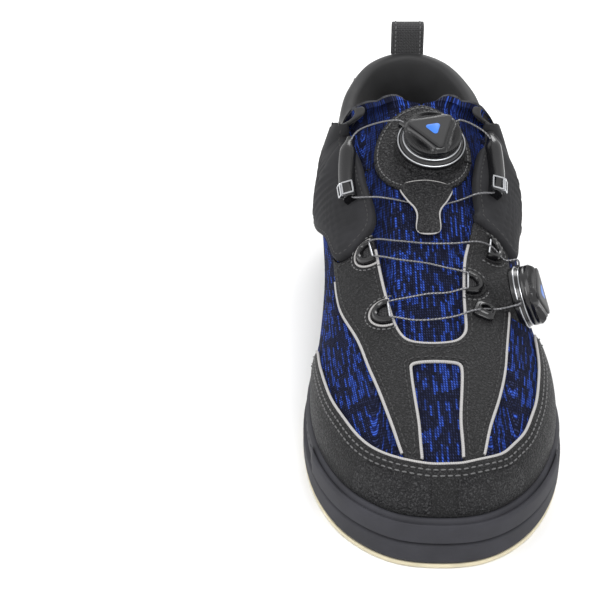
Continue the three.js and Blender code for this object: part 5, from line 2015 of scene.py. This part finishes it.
@dataclass
class Dial:
    """One twist dial: its seat on the upper, base ring, knob, face plate and the works inside."""

    name: str
    last: Last
    foot: float
    seat_finish: Finish
    ports: tuple[float, ...]
    knob: float = 13.3 * MM
    knob_low: float = 4.3 * MM
    knob_top: float = 10.2 * MM
    well: float = 12.1 * MM
    face_turn: float = 8.0
    rib_count: int = 108
    lens_depth: float = 0.75 * MM
    plate_reach: float = 11.9 * MM
    plate_top: float = 11.15 * MM

    def __post_init__(self) -> None:
        """Finds the placing of the dial from its joint."""
        joint = next(j for j in frame["joints"] if j["name"] == f"{self.name}_knob_turn")
        up = Vector(joint["axis"]).normalized()
        back = (Vector((0, 0, 1)) - up * up.z).normalized()
        right = back.cross(up)
        columns = Matrix((right, back, up)).transposed().to_4x4()
        self.seat = Matrix.Translation(joint["pos_m"]) @ columns
        self.moving = f"{self.name}_turn"

    def build(self) -> None:
        """Builds every piece of the dial."""
        self.build_seat()
        self.build_base()
        self.build_knob()
        self.build_plate()
        dress(GLOSS, *(f"{self.name}_{part}" for part in ("housing", "pawl_ring")))
        dress(STEEL, *(f"{self.name}_{part}" for part in ("ratchet_ring", "pop_sleeve", "screw")))
        dress(MATTE, f"{self.name}_spool")

    def put(self, points: Array) -> Array:
        """Moves points from the dial's own frame to where it sits."""
        matrix = np.array(self.seat)
        return points @ matrix[:3, :3].T + matrix[:3, 3]

    def build_seat(self) -> None:
        """Builds the moulded block that fills the room between the base and the upper."""
        axis = -np.array(self.seat)[:3, 2]
        turns = np.linspace(0, 2 * math.pi, 60, endpoint=False)
        rings = []
        for reach, depth in ((self.foot * 0.5, 0.2), (self.foot - 0.5 * MM, 0.2),
                             (self.foot + 0.15 * MM, 0.5)):
            ring = np.stack([reach * np.cos(turns), reach * np.sin(turns), np.full(60, -depth * MM)], 1)
            rings.append(self.put(ring))
        spread = np.stack([(self.foot + 0.9 * MM) * np.cos(turns), (self.foot + 0.9 * MM) * np.sin(turns),
                           np.full(60, 6 * MM)], 1)
        rim = [self.last.struck(start, axis) for start in self.put(spread)]
        rings.append(np.array(rim))
        middle = self.put(np.array([[0.0, 0.0, -2.0 * MM]]))[0]
        inner = [point + (middle - point) * 0.45 for point in rings[-1]]
        rings.append(np.array(inner))
        faces = bands(len(rings), 60) + [list(range(60))[::-1], [240 + j for j in range(60)]]
        build(f"{self.name}_seat_block", Shape(np.vstack(rings), faces), self.seat_finish,
              stands_for=[f"{self.name}_seat"], crisp=50)

    def build_base(self) -> None:
        """Builds the base with its two bright bezels, and a spout for each end of the wire."""
        wide = self.foot - self.well
        steps = ((0, 0), (0, 1.1), (0.03, 1.6), (0.12, 1.95), (0.2, 1.75), (0.26, 1.7), (0.36, 2.4),
                 (0.5, 3.2),
                 (0.56, 3.2), (0.62, 3.75), (0.72, 3.9), (1, 3.9))
        profile = [(0.0, 0.0)] + [(self.foot - wide * share, height * MM) for share, height in steps]
        profile += [(self.well, 1.0 * MM), (0.0, 1.0 * MM)]
        build(f"{self.name}_bezel", turned(profile, self.seat, 96), GLOSS, stands_for=[f"{self.name}_base"],
              crisp=32)
        turns = np.linspace(0, 2 * math.pi, 96, endpoint=False)
        trims = []
        for reach, height in ((self.foot - wide * 0.13, 1.85 * MM), (self.foot - wide * 0.7, 3.8 * MM)):
            ring = self.put(np.stack([reach * np.cos(turns), reach * np.sin(turns), np.full(96, height)], 1))
            trims.append(swept(ring, circle(0.32 * MM, 8), closed=True))
        build(f"{self.name}_bezel_trim", merged(trims), STEEL)
        spouts = []
        section = np.array([(-1.7, -1.9), (1.7, -1.9), (1.7, 0.7), (1.2, 1.3), (-1.2, 1.3), (-1.7, 0.7)]) * MM
        for angle in self.ports:
            way = np.array([math.cos(math.radians(angle)), math.sin(math.radians(angle)), 0.0])
            ends = [self.foot - wide * 0.7, self.foot - 0.4 * MM, self.foot + 1.6 * MM, self.foot + 2.0 * MM]
            line = self.put(np.array([way * reach + [0, 0, 2.2 * MM] for reach in ends]))
            up = np.tile(np.array(self.seat)[:3, 2], (4, 1))
            spouts.append(swept(line, section, up, scale=np.array([1.1, 1.0, 0.92, 0.7])))
        build(f"{self.name}_spouts", merged(spouts), GLOSS, crisp=32)

    def lens(self, radius: Array, angle: Array) -> Array:
        """Says how far inside one of the three sunken lenses of the knob a point is, in metres.

        Args:
            radius: How far the point is from the axis.
            angle: Its direction, in radians.

        Returns:
            The distance, which is below 0 outside the lenses.
        """
        near, bulge = 7.3 * MM, 66 * MM
        best = np.full(np.broadcast(radius, angle).shape, -1.0)
        for k in range(3):
            middle = math.radians(90 + self.face_turn + 120 * k)
            x = radius * np.cos(angle - middle)
            y = radius * np.sin(angle - middle)
            inside = bulge - np.hypot(x - near - bulge, y)
            best = np.maximum(best, np.where(x > 0, inside, -1.0))
        return best

    def build_knob(self) -> None:
        """Builds the knob: a smooth skirt, a rounded shoulder and three sunken, ribbed lenses."""
        segments = self.rib_count * 4
        angle = np.arange(segments) / segments * 2 * math.pi
        shoulder = self.knob - 2.4 * MM
        wall = [(self.knob - 1.1 * MM, 8.4), (self.knob - 1.1 * MM, self.knob_low / MM),
                (self.knob - 0.25 * MM, self.knob_low / MM), (self.knob, self.knob_low / MM + 0.3),
                (self.knob, 6.2), (self.knob - 0.12 * MM, 6.4), (self.knob - 0.12 * MM, 6.6),
                (self.knob, 6.8),
                (self.knob, 7.9)]
        rings = [np.stack([r * np.cos(angle), r * np.sin(angle), np.full(segments, z * MM)], 1) for r,
                 z in wall]
        spans = np.concatenate([self.knob - np.array([0.1, 0.3, 0.7, 1.2, 1.7, 2.2]) * MM,
                                np.linspace(self.knob - 2.8 * MM, 6.6 * MM, 14), [4 * MM, 1.5 * MM]])
        for radius in spans:
            drop = 2.0 * MM * np.clip((radius - shoulder) / (self.knob - shoulder), 0, 1) ** 2.2
            inside = self.lens(np.full(segments, radius), angle)
            sunk = smoothstep(inside, 0.0, 0.7 * MM)
            ribs = 0.5 + 0.5 * np.cos(angle * self.rib_count)
            tooth = smoothstep(inside, 1.0 * MM, 2.0 * MM) * smoothstep(np.array(radius), 8.6 * MM, 9.4 * MM)
            height = self.knob_top - drop - sunk * self.lens_depth * (1 - 0.55 * ribs * tooth)
            rings.append(np.stack([radius * np.cos(angle), radius * np.sin(angle), height], 1))
        rings.append(np.array([[0.0, 0.0, self.knob_top]]))
        under = np.array([[0.0, 0.0, 8.4 * MM]])
        total = len(rings) - 1
        faces = bands(total, segments)
        tip, centre = total * segments, total * segments + 1
        faces += [[(total - 1) * segments + j, (total - 1) * segments + (j + 1) % segments, tip]
                  for j in range(segments)]
        faces += [[(j + 1) % segments, j, centre] for j in range(segments)]
        points = np.vstack(rings + [under])
        build(f"{self.name}_knob_cap", Shape(self.put(points), faces, points[:, :2]), GLOSS, self.moving,
              [f"{self.name}_knob"], crisp=55)

    def triangle(self, reach: float, round_off: float, steps: int = 8) -> Array:
        """Gives the outline of a triangle with rounded corners, pointing to the front of the dial.

        Args:
            reach: How far its corners are from the middle.
            round_off: The radius of its corners.
            steps: How many points each corner gets.

        Returns:
            The points of the outline.
        """
        points = []
        for k in range(3):
            middle = math.radians(-90 + self.face_turn + 120 * k)
            centre = np.array([math.cos(middle), math.sin(middle)]) * (reach - round_off)
            for turn in np.linspace(-math.pi / 3, math.pi / 3, steps):
                points.append(centre + round_off * np.array([math.cos(middle + turn),
                        math.sin(middle + turn)]))
        return np.array(points)

    def stacked(self, levels: Sequence[tuple[float, float, float]]) -> Shape:
        """Builds a triangular plate from (reach, corner radius, height) levels, lowest first.

        Args:
            levels: The reach, corner radius and height of each level.

        Returns:
            The closed plate.
        """
        rings = [np.column_stack([self.triangle(reach, corner), np.full(24, height)]) for reach, corner,
                 height in levels]
        faces = bands(len(levels), 24)
        faces += [list(range(24))[::-1], [(len(levels) - 1) * 24 + j for j in range(24)]]
        points = np.vstack(rings)
        return Shape(self.put(points), faces, points[:, :2])

    def build_plate(self) -> None:
        """Builds the triangular face plate with its bevelled edge, and the plain mark on it."""
        reach, top = self.plate_reach, self.plate_top
        levels = [(reach, 1.5 * MM, self.knob_top - 0.1 * MM), (reach, 1.5 * MM, top - 0.5 * MM),
                  (reach - 0.25 * MM, 1.35 * MM, top - 0.2 * MM), (reach - 1.0 * MM, 1.0 * MM, top),
                  (reach - 1.3 * MM, 0.9 * MM, top)]
        build(f"{self.name}_face_plate", self.stacked(levels), MATTE, self.moving, [f"{self.name}_top_plate"],
              crisp=25)
        mark = [(3.6 * MM, 1.2 * MM, top - 0.05 * MM), (3.6 * MM, 1.2 * MM, top + 0.05 * MM),
                (3.45 * MM, 1.1 * MM, top + 0.1 * MM)]
        build(f"{self.name}_mark", self.stacked(mark), BLUE_MARK, self.moving, crisp=30)


# ---------------------------------------------------------------- guides and wires
@dataclass
class Closure:
    """The dials, the guides that turn the lacing wires, and the wires themselves."""

    last: Last
    wire: float = 0.45 * MM
    wing_wire: float = 6.2
    guide_wire: float = 3.1
    guide_turn: float = 4.6
    port_height: float = 2.9 * MM
    medial_upper: tuple[float, float] = (-26.4, -18.8)
    medial_lower: tuple[float, float] = (-20.8, -55.8)
    lateral_upper: tuple[float, float] = (25.6, -16.4)
    lateral_middle: tuple[float, float] = (14.8, -40.6)
    lateral_lower: tuple[float, float] = (20.0, -54.8)
    frame_lean: tuple[float, float, float] = (0.0, -0.5, 1.4)

    def build(self) -> None:
        """Builds the whole closure."""
        main = Dial("main_dial", self.last, 15.9 * MM, PATCH, (135.8, 36.9))
        side = Dial("side_dial", self.last, 13.9 * MM, OVERLAY, (32.7, 159.6))
        main.build()
        side.build()
        self.build_hoods()
        self.build_loops()
        self.build_wires(main, side)

    def over(self, points: Points) -> Array:
        """Lifts points, given as x, y and height in millimetres as drawn, onto the upper."""
        return np.array([self.last.over(x * MM, y * MM, height * MM)[0] for x, y, height in points])

    def out_of(self, dial: Dial, x: float, y: float) -> Array:
        """Gives the points where a wire leaves a dial in a direction of the dial's own frame.

        Args:
            dial: The dial.
            x: The part of that direction along the dial's own x axis.
            y: The part along its own y axis.

        Returns:
            Three points, from the dial outwards.
        """
        way = np.array([x, y]) / math.hypot(x, y)
        reaches = (dial.well - 2.1 * MM, 14 * MM, 18.9 * MM)
        return dial.put(np.array([[*(way * reach), self.port_height] for reach in reaches]))

    def round_guide(self, spot: tuple[float, float], side: int) -> list[tuple[float, float, float]]:
        """Gives the points of the wire round one guide, from its rear side to its front side.

        Args:
            spot: The middle of the guide, in millimetres as drawn.
            side: -1 on the inner side and 1 on the outer.

        Returns:
            The x, y and height of each point.
        """
        turn = ((-0.5, 1), (0.45, 0.85), (1, 0), (0.45, -0.85), (-0.5, -1))
        return [(spot[0] + side * across * self.guide_turn, spot[1] + along * self.guide_turn,
                 self.guide_wire)
                for across, along in turn]

    def build_wires(self, main: Dial, side: Dial) -> None:
        """Builds the two lacing wires on their tightened routes.

        Args:
            main: The dial on the tongue.
            side: The dial on the outer side.
        """
        wing, low = self.wing_wire, self.guide_wire
        first = np.vstack([
            self.out_of(main, -0.72, 0.7),
            self.over([(-27.5, 45.5, 6.4), (-32, 40.5, wing), (-33, 31, wing), (-32.8, 21, wing),
                       (-30.6, 12.6, wing),
                       (-26.5, 9.4, 5.2), (-22, 8, 3), (-17, 6.4, 0.6), (-12, 4.4, -0.7), (-4, 1, -0.8),
                       (3, 0.6, -0.8), (11, 3.6, -0.7), (15.5, 5.6, 1.2), (19.4, 7.4, 4.6), (22.5, 9.4, 5.4),
                       (27, 13, wing), (29, 21, wing), (29.4, 30, wing), (28.4, 40, wing),
                       (24.6, 43.5, 6.4)]),
            self.out_of(main, 0.8, 0.6)[::-1]])
        second = np.vstack([
            self.out_of(side, 0.84, 0.54),
            self.over([(31, -19, low), (25.6, -16.4, low), (20, -17, low), (9, -20.6, 1.6), (-3, -21.4, 1.2),
                       (-15.4, -17.8, 1.8), *self.round_guide(self.medial_upper, -1), (-13.4, -28.6, 1.6),
                       (-3, -31.8, 1.2), (5, -34, 1.6), *self.round_guide(self.lateral_middle, 1),
                       (5, -47.4, 1.4),
                       (-3, -48.2, 1.2), (-11.6, -49.6, 1.6), *self.round_guide(self.medial_lower, -1),
                       (-10, -62.2, 1.4), (-2, -62.4, 1.3), (7.5, -60.4, 1.8), (14.6, -57.2, low),
                       (20, -54.8, low),
                       (25.4, -52.6, low)]),
            self.out_of(side, -0.94, 0.35)[::-1]])
        for name, points in (("main", first), ("side", second)):
            line = threaded(points)
            build(f"{name}_wire", swept(line, circle(self.wire, 10)), WIRE, stands_for=[f"{name}_lace_wire"])

    def build_hoods(self) -> None:
        """Builds the two long guides on the wings, each with a metal frame at its mouth."""
        section = np.array([(-3.3, -2.2), (3.3, -2.2), (3.35, 0.4), (2.7, 2.3), (1.2, 3.1), (-0.9, 3.2),
                            (-2.3, 2.5),
                            (-3.3, 0.9)]) * MM
        for name, facing, spots in (("medial", -1,
                                     ((-31.2, 45.5), (-32.4, 40), (-33, 31), (-32.8, 20), (-31.6, 12.5))),
                                    ("lateral", 1,
                                     ((27.8, 45), (29, 40), (29.4, 31), (29, 20), (27.6, 12.5)))):
            line = threaded([self.last.over(x * MM, y * MM, self.wing_wire * MM - 0.7 * MM)[0] for x,
                             y in spots], 6)
            up = threaded([self.last.over(x * MM, y * MM)[1] for x, y in spots], 6)
            share = np.linspace(0, 1, len(line))
            size = 0.42 + 0.62 * smoothstep(share, 0.0, 0.3) - 0.14 * smoothstep(share, 0.7, 1.0)
            build(f"{name}_hood", swept(line, section, unit(up), scale=size), GLOSS,
                  stands_for=[f"{name}_hood_guide"], crisp=35)
            self.build_frame(name, facing, line, unit(up))

    def build_frame(self, name: str, facing: int, line: Array, up: Array) -> None:
        """Builds the square metal frame at the mouth of a hood, with a narrower one beside it.

        Args:
            name: The side of the shoe.
            facing: -1 on the inner side and 1 on the outer.
            line: The middle line of the hood.
            up: The normals along it.
        """
        middle, normal = line[-5], unit(up[-5] + self.frame_lean)
        side = unit(np.cross(np.array([0.0, -1.0, 0.0]), normal))
        along = np.cross(normal, side)
        outward = side * (1 if side[0] * facing > 0 else -1)
        bar = np.array([(-0.42, -0.7), (0.42, -0.7), (0.42, 0.45), (0.3, 0.6), (-0.3, 0.6),
                        (-0.42, 0.45)]) * MM
        frames = []
        for wide, tilt, shift in ((4.9 * MM, 0.0, -0.4 * MM), (2.2 * MM, -0.9, 3.4 * MM)):
            across = outward * math.cos(tilt) + normal * math.sin(tilt)
            face = normal * math.cos(tilt) - outward * math.sin(tilt)
            centre = middle + outward * shift + normal * (2.9 * MM if tilt == 0 else 1.9 * MM)
            corners = [(-wide / 2, -3.5 * MM), (wide / 2, -3.5 * MM), (wide / 2, 3.5 * MM),
                       (-wide / 2, 3.5 * MM)]
            path = np.array([centre + across * a + along * b for a, b in corners])
            path = evenly(path, 0.8 * MM, True)
            frames.append(swept(path, bar, np.tile(face, (len(path), 1)), closed=True))
        build(f"{name}_mouth_frame", merged(frames), STEEL, crisp=30)

    def build_loops(self) -> None:
        """Builds the low guides along the throat: four half-round ones and one square plate."""
        for name, spot, facing, radius in (("medial_upper", self.medial_upper, -1, 6.7 * MM),
                                           ("medial_lower", self.medial_lower, -1, 6.7 * MM),
                                           ("lateral_upper", self.lateral_upper, 1, 6.3 * MM),
                                           ("lateral_middle", self.lateral_middle, 1, 6.2 * MM)):
            self.build_half_round(name, spot, facing, radius)
        self.build_plate()

    def placed(self, spot: tuple[float, float], flat: Array, heights: Array) -> Array:
        """Drops points from the plane over a spot onto the upper, and lifts each by its own height.

        Args:
            spot: The middle, in millimetres as drawn.
            flat: The points, across and along.
            heights: How far each one is lifted.

        Returns:
            The points on the upper.
        """
        centre, normal = self.last.over(spot[0] * MM, spot[1] * MM)
        side = unit(np.cross(np.array([0.0, 1.0, 0.0]), normal))
        along = np.cross(normal, side)
        points = []
        for (a, b), height in zip(flat, heights):
            start = centre + side * a + along * b + normal * 12 * MM
            points.append(self.last.struck(start, -normal) + normal * height)
        return np.array(points)

    def build_half_round(self, name: str, spot: tuple[float, float], facing: int, radius: float) -> None:
        """Builds one half-round guide: a curved channel for the wire, closed by a straight bar.

        Args:
            name: The name of the guide.
            spot: Its middle, in millimetres as drawn.
            facing: -1 on the inner side and 1 on the outer.
            radius: The radius of its outer edge.
        """
        reach = math.radians(104)
        turns = np.linspace(-reach, reach, 33)
        section = np.array([(-1.45, 0.2), (-1.5, 1.6), (-1.1, 2.5), (-0.4, 2.95), (0.6, 2.8), (1.2, 2.1),
                            (1.45, 1.2),
                            (1.5, 0.2)]) * MM
        middle = radius - 1.6 * MM
        rings = []
        for turn in turns:
            way = np.array([facing * math.cos(turn), math.sin(turn)])
            flat = np.array([way * (middle + a) for a, _ in section])
            rings.append(self.placed(spot, flat, section[:, 1] + 1.1 * MM))
        count = len(section)
        faces = bands(len(turns), count)
        faces += [list(range(count))[::-1], [(len(turns) - 1) * count + j for j in range(count)]]
        channel = Shape(np.vstack(rings), faces if facing > 0 else [f[::-1] for f in faces])
        build(f"{name}_channel", channel, GLOSS, stands_for=[f"{name}_loop_guide"], crisp=35)
        depth = -facing * math.cos(math.pi - reach) * middle
        flat = np.array([(depth, b) for b in np.linspace(-middle * 0.93, middle * 0.93, 9)])
        line = self.placed(spot, flat, np.full(9, 2.9 * MM))
        build(f"{name}_bar", swept(line, circle(0.5 * MM, 10)), STEEL)
        under = np.array([(facing * middle * 0.72 * math.cos(t), middle * 0.72 * math.sin(t))
                          for t in np.linspace(-reach, reach, 21)])
        floor = self.placed(spot, under, np.full(21, 1.55 * MM))
        low = self.placed(spot, under, np.full(21, 1.35 * MM))
        walls = [[j, (j + 1) % 21, 21 + (j + 1) % 21, 21 + j] for j in range(21)]
        build(f"{name}_well", Shape(np.vstack([floor, low]),
                                    walls + [list(range(21)), list(range(41, 20, -1))]), HOOK)
        arc = np.array([(facing * (radius + 1.0 * MM) * math.cos(t), (radius + 1.0 * MM) * math.sin(t))
                        for t in np.linspace(-reach, reach, 40)])
        cord = self.placed(spot, arc, np.full(40, 1.5 * MM))
        normal = self.last.over(spot[0] * MM, spot[1] * MM)[1]
        finish = PIPING if facing < 0 else OVERLAY
        build(f"{name}_edging", swept(cord, circle(0.5 * MM, 8), np.tile(normal, (40, 1))), finish)
        row = self.placed(spot, arc * (radius + 2.9 * MM) / (radius + 1.0 * MM), np.full(40, 1.35 * MM))
        build(f"{name}_stitching", stitches([(row, np.tile(normal, (40, 1)), False)], 0.05 * MM,
                                            pitch=2.4 * MM,
                                            length=1.7 * MM), THREAD)

    def build_plate(self) -> None:
        """Builds the square plate with an oval eyelet where the wire turns off to the side dial."""
        steps = 40
        turns = np.linspace(0, 2 * math.pi, steps, endpoint=False)
        lean = math.radians(-14)
        square = np.stack([np.sign(np.cos(turns)) * np.abs(np.cos(turns)) ** 0.45 * 4.7 * MM,
                           np.sign(np.sin(turns)) * np.abs(np.sin(turns)) ** 0.45 * 4.6 * MM], 1)
        oval = np.stack([np.cos(turns) * 2.3 * MM, np.sin(turns) * 1.6 * MM], 1) + [0.2 * MM, 0.9 * MM]
        turn = np.array([[math.cos(lean), math.sin(lean)], [-math.sin(lean), math.cos(lean)]])
        rings = []
        for share, height in ((0.0, 1.6), (0.0, 3.3), (0.12, 3.8), (0.28, 3.7), (0.4, 3.1), (0.55, 2.9),
                              (0.9, 2.9),
                              (0.98, 2.6), (1.0, 1.4), (0.6, 1.35), (0.2, 1.35)):
            flat = oval * (1 - share) + square * share
            rings.append(self.placed(self.lateral_lower, flat @ turn, np.full(steps, height * MM)))
        faces = bands(len(rings), steps, ringed=True)
        build("lateral_lower_plate", Shape(np.vstack(rings), [f[::-1] for f in faces]), GLOSS,
              stands_for=["lateral_lower_loop_guide"], crisp=35)


@dataclass
class PullLoop:
    """The webbing loop at the heel and the tab that it is sewn to."""

    last: Last
    width: float = 16.6 * MM
    thickness: float = 1.3 * MM

    def build(self) -> None:
        """Builds the loop, bent round over its top with stitched edges, and its fixed tab."""
        low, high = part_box("pull_loop")
        middle, back = (low.x + high.x) / 2, (low.y + high.y) / 2
        reach = (high.y - low.y) / 2 - self.thickness / 2
        bottom, top = low.z, high.z - self.thickness / 2 - reach
        turns = np.linspace(math.pi, 0, 15)
        points = [(middle, back - reach, z) for z in np.linspace(bottom, top, 7)[:-1]]
        points += [(middle, back + reach * math.cos(t), top + reach * math.sin(t)) for t in turns]
        points += [(middle, back + reach, z) for z in np.linspace(top, bottom, 7)[1:]]
        line = np.array(points)
        outward = unit(line - [middle, back, (bottom + top) / 2 + 2 * MM])
        section = strap(self.width, self.thickness, -self.thickness / 2)
        build("webbing_loop", swept(line, section, outward), WEBBING, Body.LOOP, ["pull_loop"], crisp=60)
        edges = []
        for side in (-1, 1):
            row = line + [side * (self.width / 2 - 2.0 * MM), 0, 0]
            edges.append((row, outward, False))
        build("loop_stitching", stitches(edges, self.thickness / 2 + 0.1 * MM, pitch=2.4 * MM,
                                         length=1.7 * MM),
              THREAD, Body.LOOP)
        self.build_tab()

    def build_tab(self) -> None:
        """Builds the tab on the back of the heel, with its stitching."""
        low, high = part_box("loop_tab")
        side = ((low.x, low.z), (high.x, low.z), (high.x, high.z), (low.x, high.z))
        outline = Outline(np.array(side), (0, 2))

        def area(patch: Patch) -> Array:
            """Keeps what lies inside the outline at the back of the heel."""
            return np.where(patch.points[:, 1] > 100 * MM, outline(patch), -1.0)
        shape = raised(self.last.skin, area, 1.8 * MM, 3.1 * MM, rounding=0.5 * MM)
        build("loop_tab_webbing", shape, WEBBING, stands_for=["loop_tab"])
        rows = kept_lines(self.last.skin, area(self.last.skin) - 1.8 * MM, 0.8 * MM, 8 * MM, None)
        build("loop_tab_stitching", stitches(rows, 3.2 * MM, pitch=2.4 * MM, length=1.7 * MM), THREAD)


# ---------------------------------------------------------------- studio
@dataclass
class Studio:
    """The camera, the floor and the lights."""

    shift: Array
    camera_place: tuple[float, float, float] = (-0.058, -0.636, 0.3957)
    camera_pitch: float = 60.48
    lens: float = 94.5
    floor_colour: Colour = (0.93, 0.93, 0.93)

    def build(self) -> None:
        """Builds the studio."""
        self.build_camera()
        self.build_floor()
        self.build_lights()

    def build_camera(self) -> None:
        """Adds the camera, in front of the toe and looking down on it."""
        data = bpy.data.cameras.new("camera")
        data.lens = self.lens
        data.sensor_width = 36.0
        data.clip_start, data.clip_end = 0.02, 20.0
        camera = bpy.data.objects.new("camera", data)
        camera.location = np.array(self.camera_place) + self.shift
        camera.rotation_euler = (math.radians(self.camera_pitch), 0.0, 0.0)
        bpy.context.scene.collection.objects.link(camera)
        bpy.context.scene.camera = camera

    def build_floor(self) -> None:
        """Adds the plain floor, just under the sole."""
        half = 4.0
        mesh = bpy.data.meshes.new("floor")
        mesh.from_pydata([(-half, -half, 0), (half, -half, 0), (half, half, 0), (-half, half, 0)], [],
                         [(0, 1, 2, 3)])
        floor = bpy.data.objects.new("floor", mesh)
        material = bpy.data.materials.new("pale_floor")
        material.use_nodes = True
        shader = material.node_tree.nodes["Principled BSDF"]
        shader.inputs["Base Color"].default_value = (*self.floor_colour, 1)
        shader.inputs["Roughness"].default_value = 0.85
        mesh.materials.append(material)
        floor.location.z = -0.0004
        bpy.context.scene.collection.objects.link(floor)

    def build_lights(self) -> None:
        """Adds a pale surround and three soft lamps."""
        world = bpy.data.worlds.new("studio")
        bpy.context.scene.world = world
        world.use_nodes = True
        background = world.node_tree.nodes["Background"]
        background.inputs["Color"].default_value = (1.0, 1.0, 1.0, 1)
        background.inputs["Strength"].default_value = 0.9
        bpy.context.scene.view_settings.view_transform = "Standard"
        for name, place, size, power in (
                ("key", (0.25, -0.75, 1.05), 0.7, 8.0),
                ("fill", (-0.85, -0.35, 0.75), 0.9, 5.0),
                ("rear", (0.2, 0.85, 0.8), 0.6, 5.0)):
            data = bpy.data.lights.new(name, "AREA")
            data.energy, data.size = power, size
            lamp = bpy.data.objects.new(name, data)
            lamp.location = place
            aim = Vector((0, 0, 0.05)) - Vector(place)
            lamp.rotation_euler = aim.to_track_quat("-Z", "Y").to_euler()
            bpy.context.scene.collection.objects.link(lamp)


def main() -> None:
    """Builds the studio and the shoe, sub-assembly by sub-assembly."""
    logging.basicConfig(level=logging.INFO, format="%(message)s")
    last = Last()
    lines = Lines(last)
    Studio(last.shift).build()
    Upper(last, lines).build()
    Panels(last, lines).build()
    Sole(last).build()
    Closure(last).build()
    PullLoop(last).build()


if __name__ == "__main__":
    main()
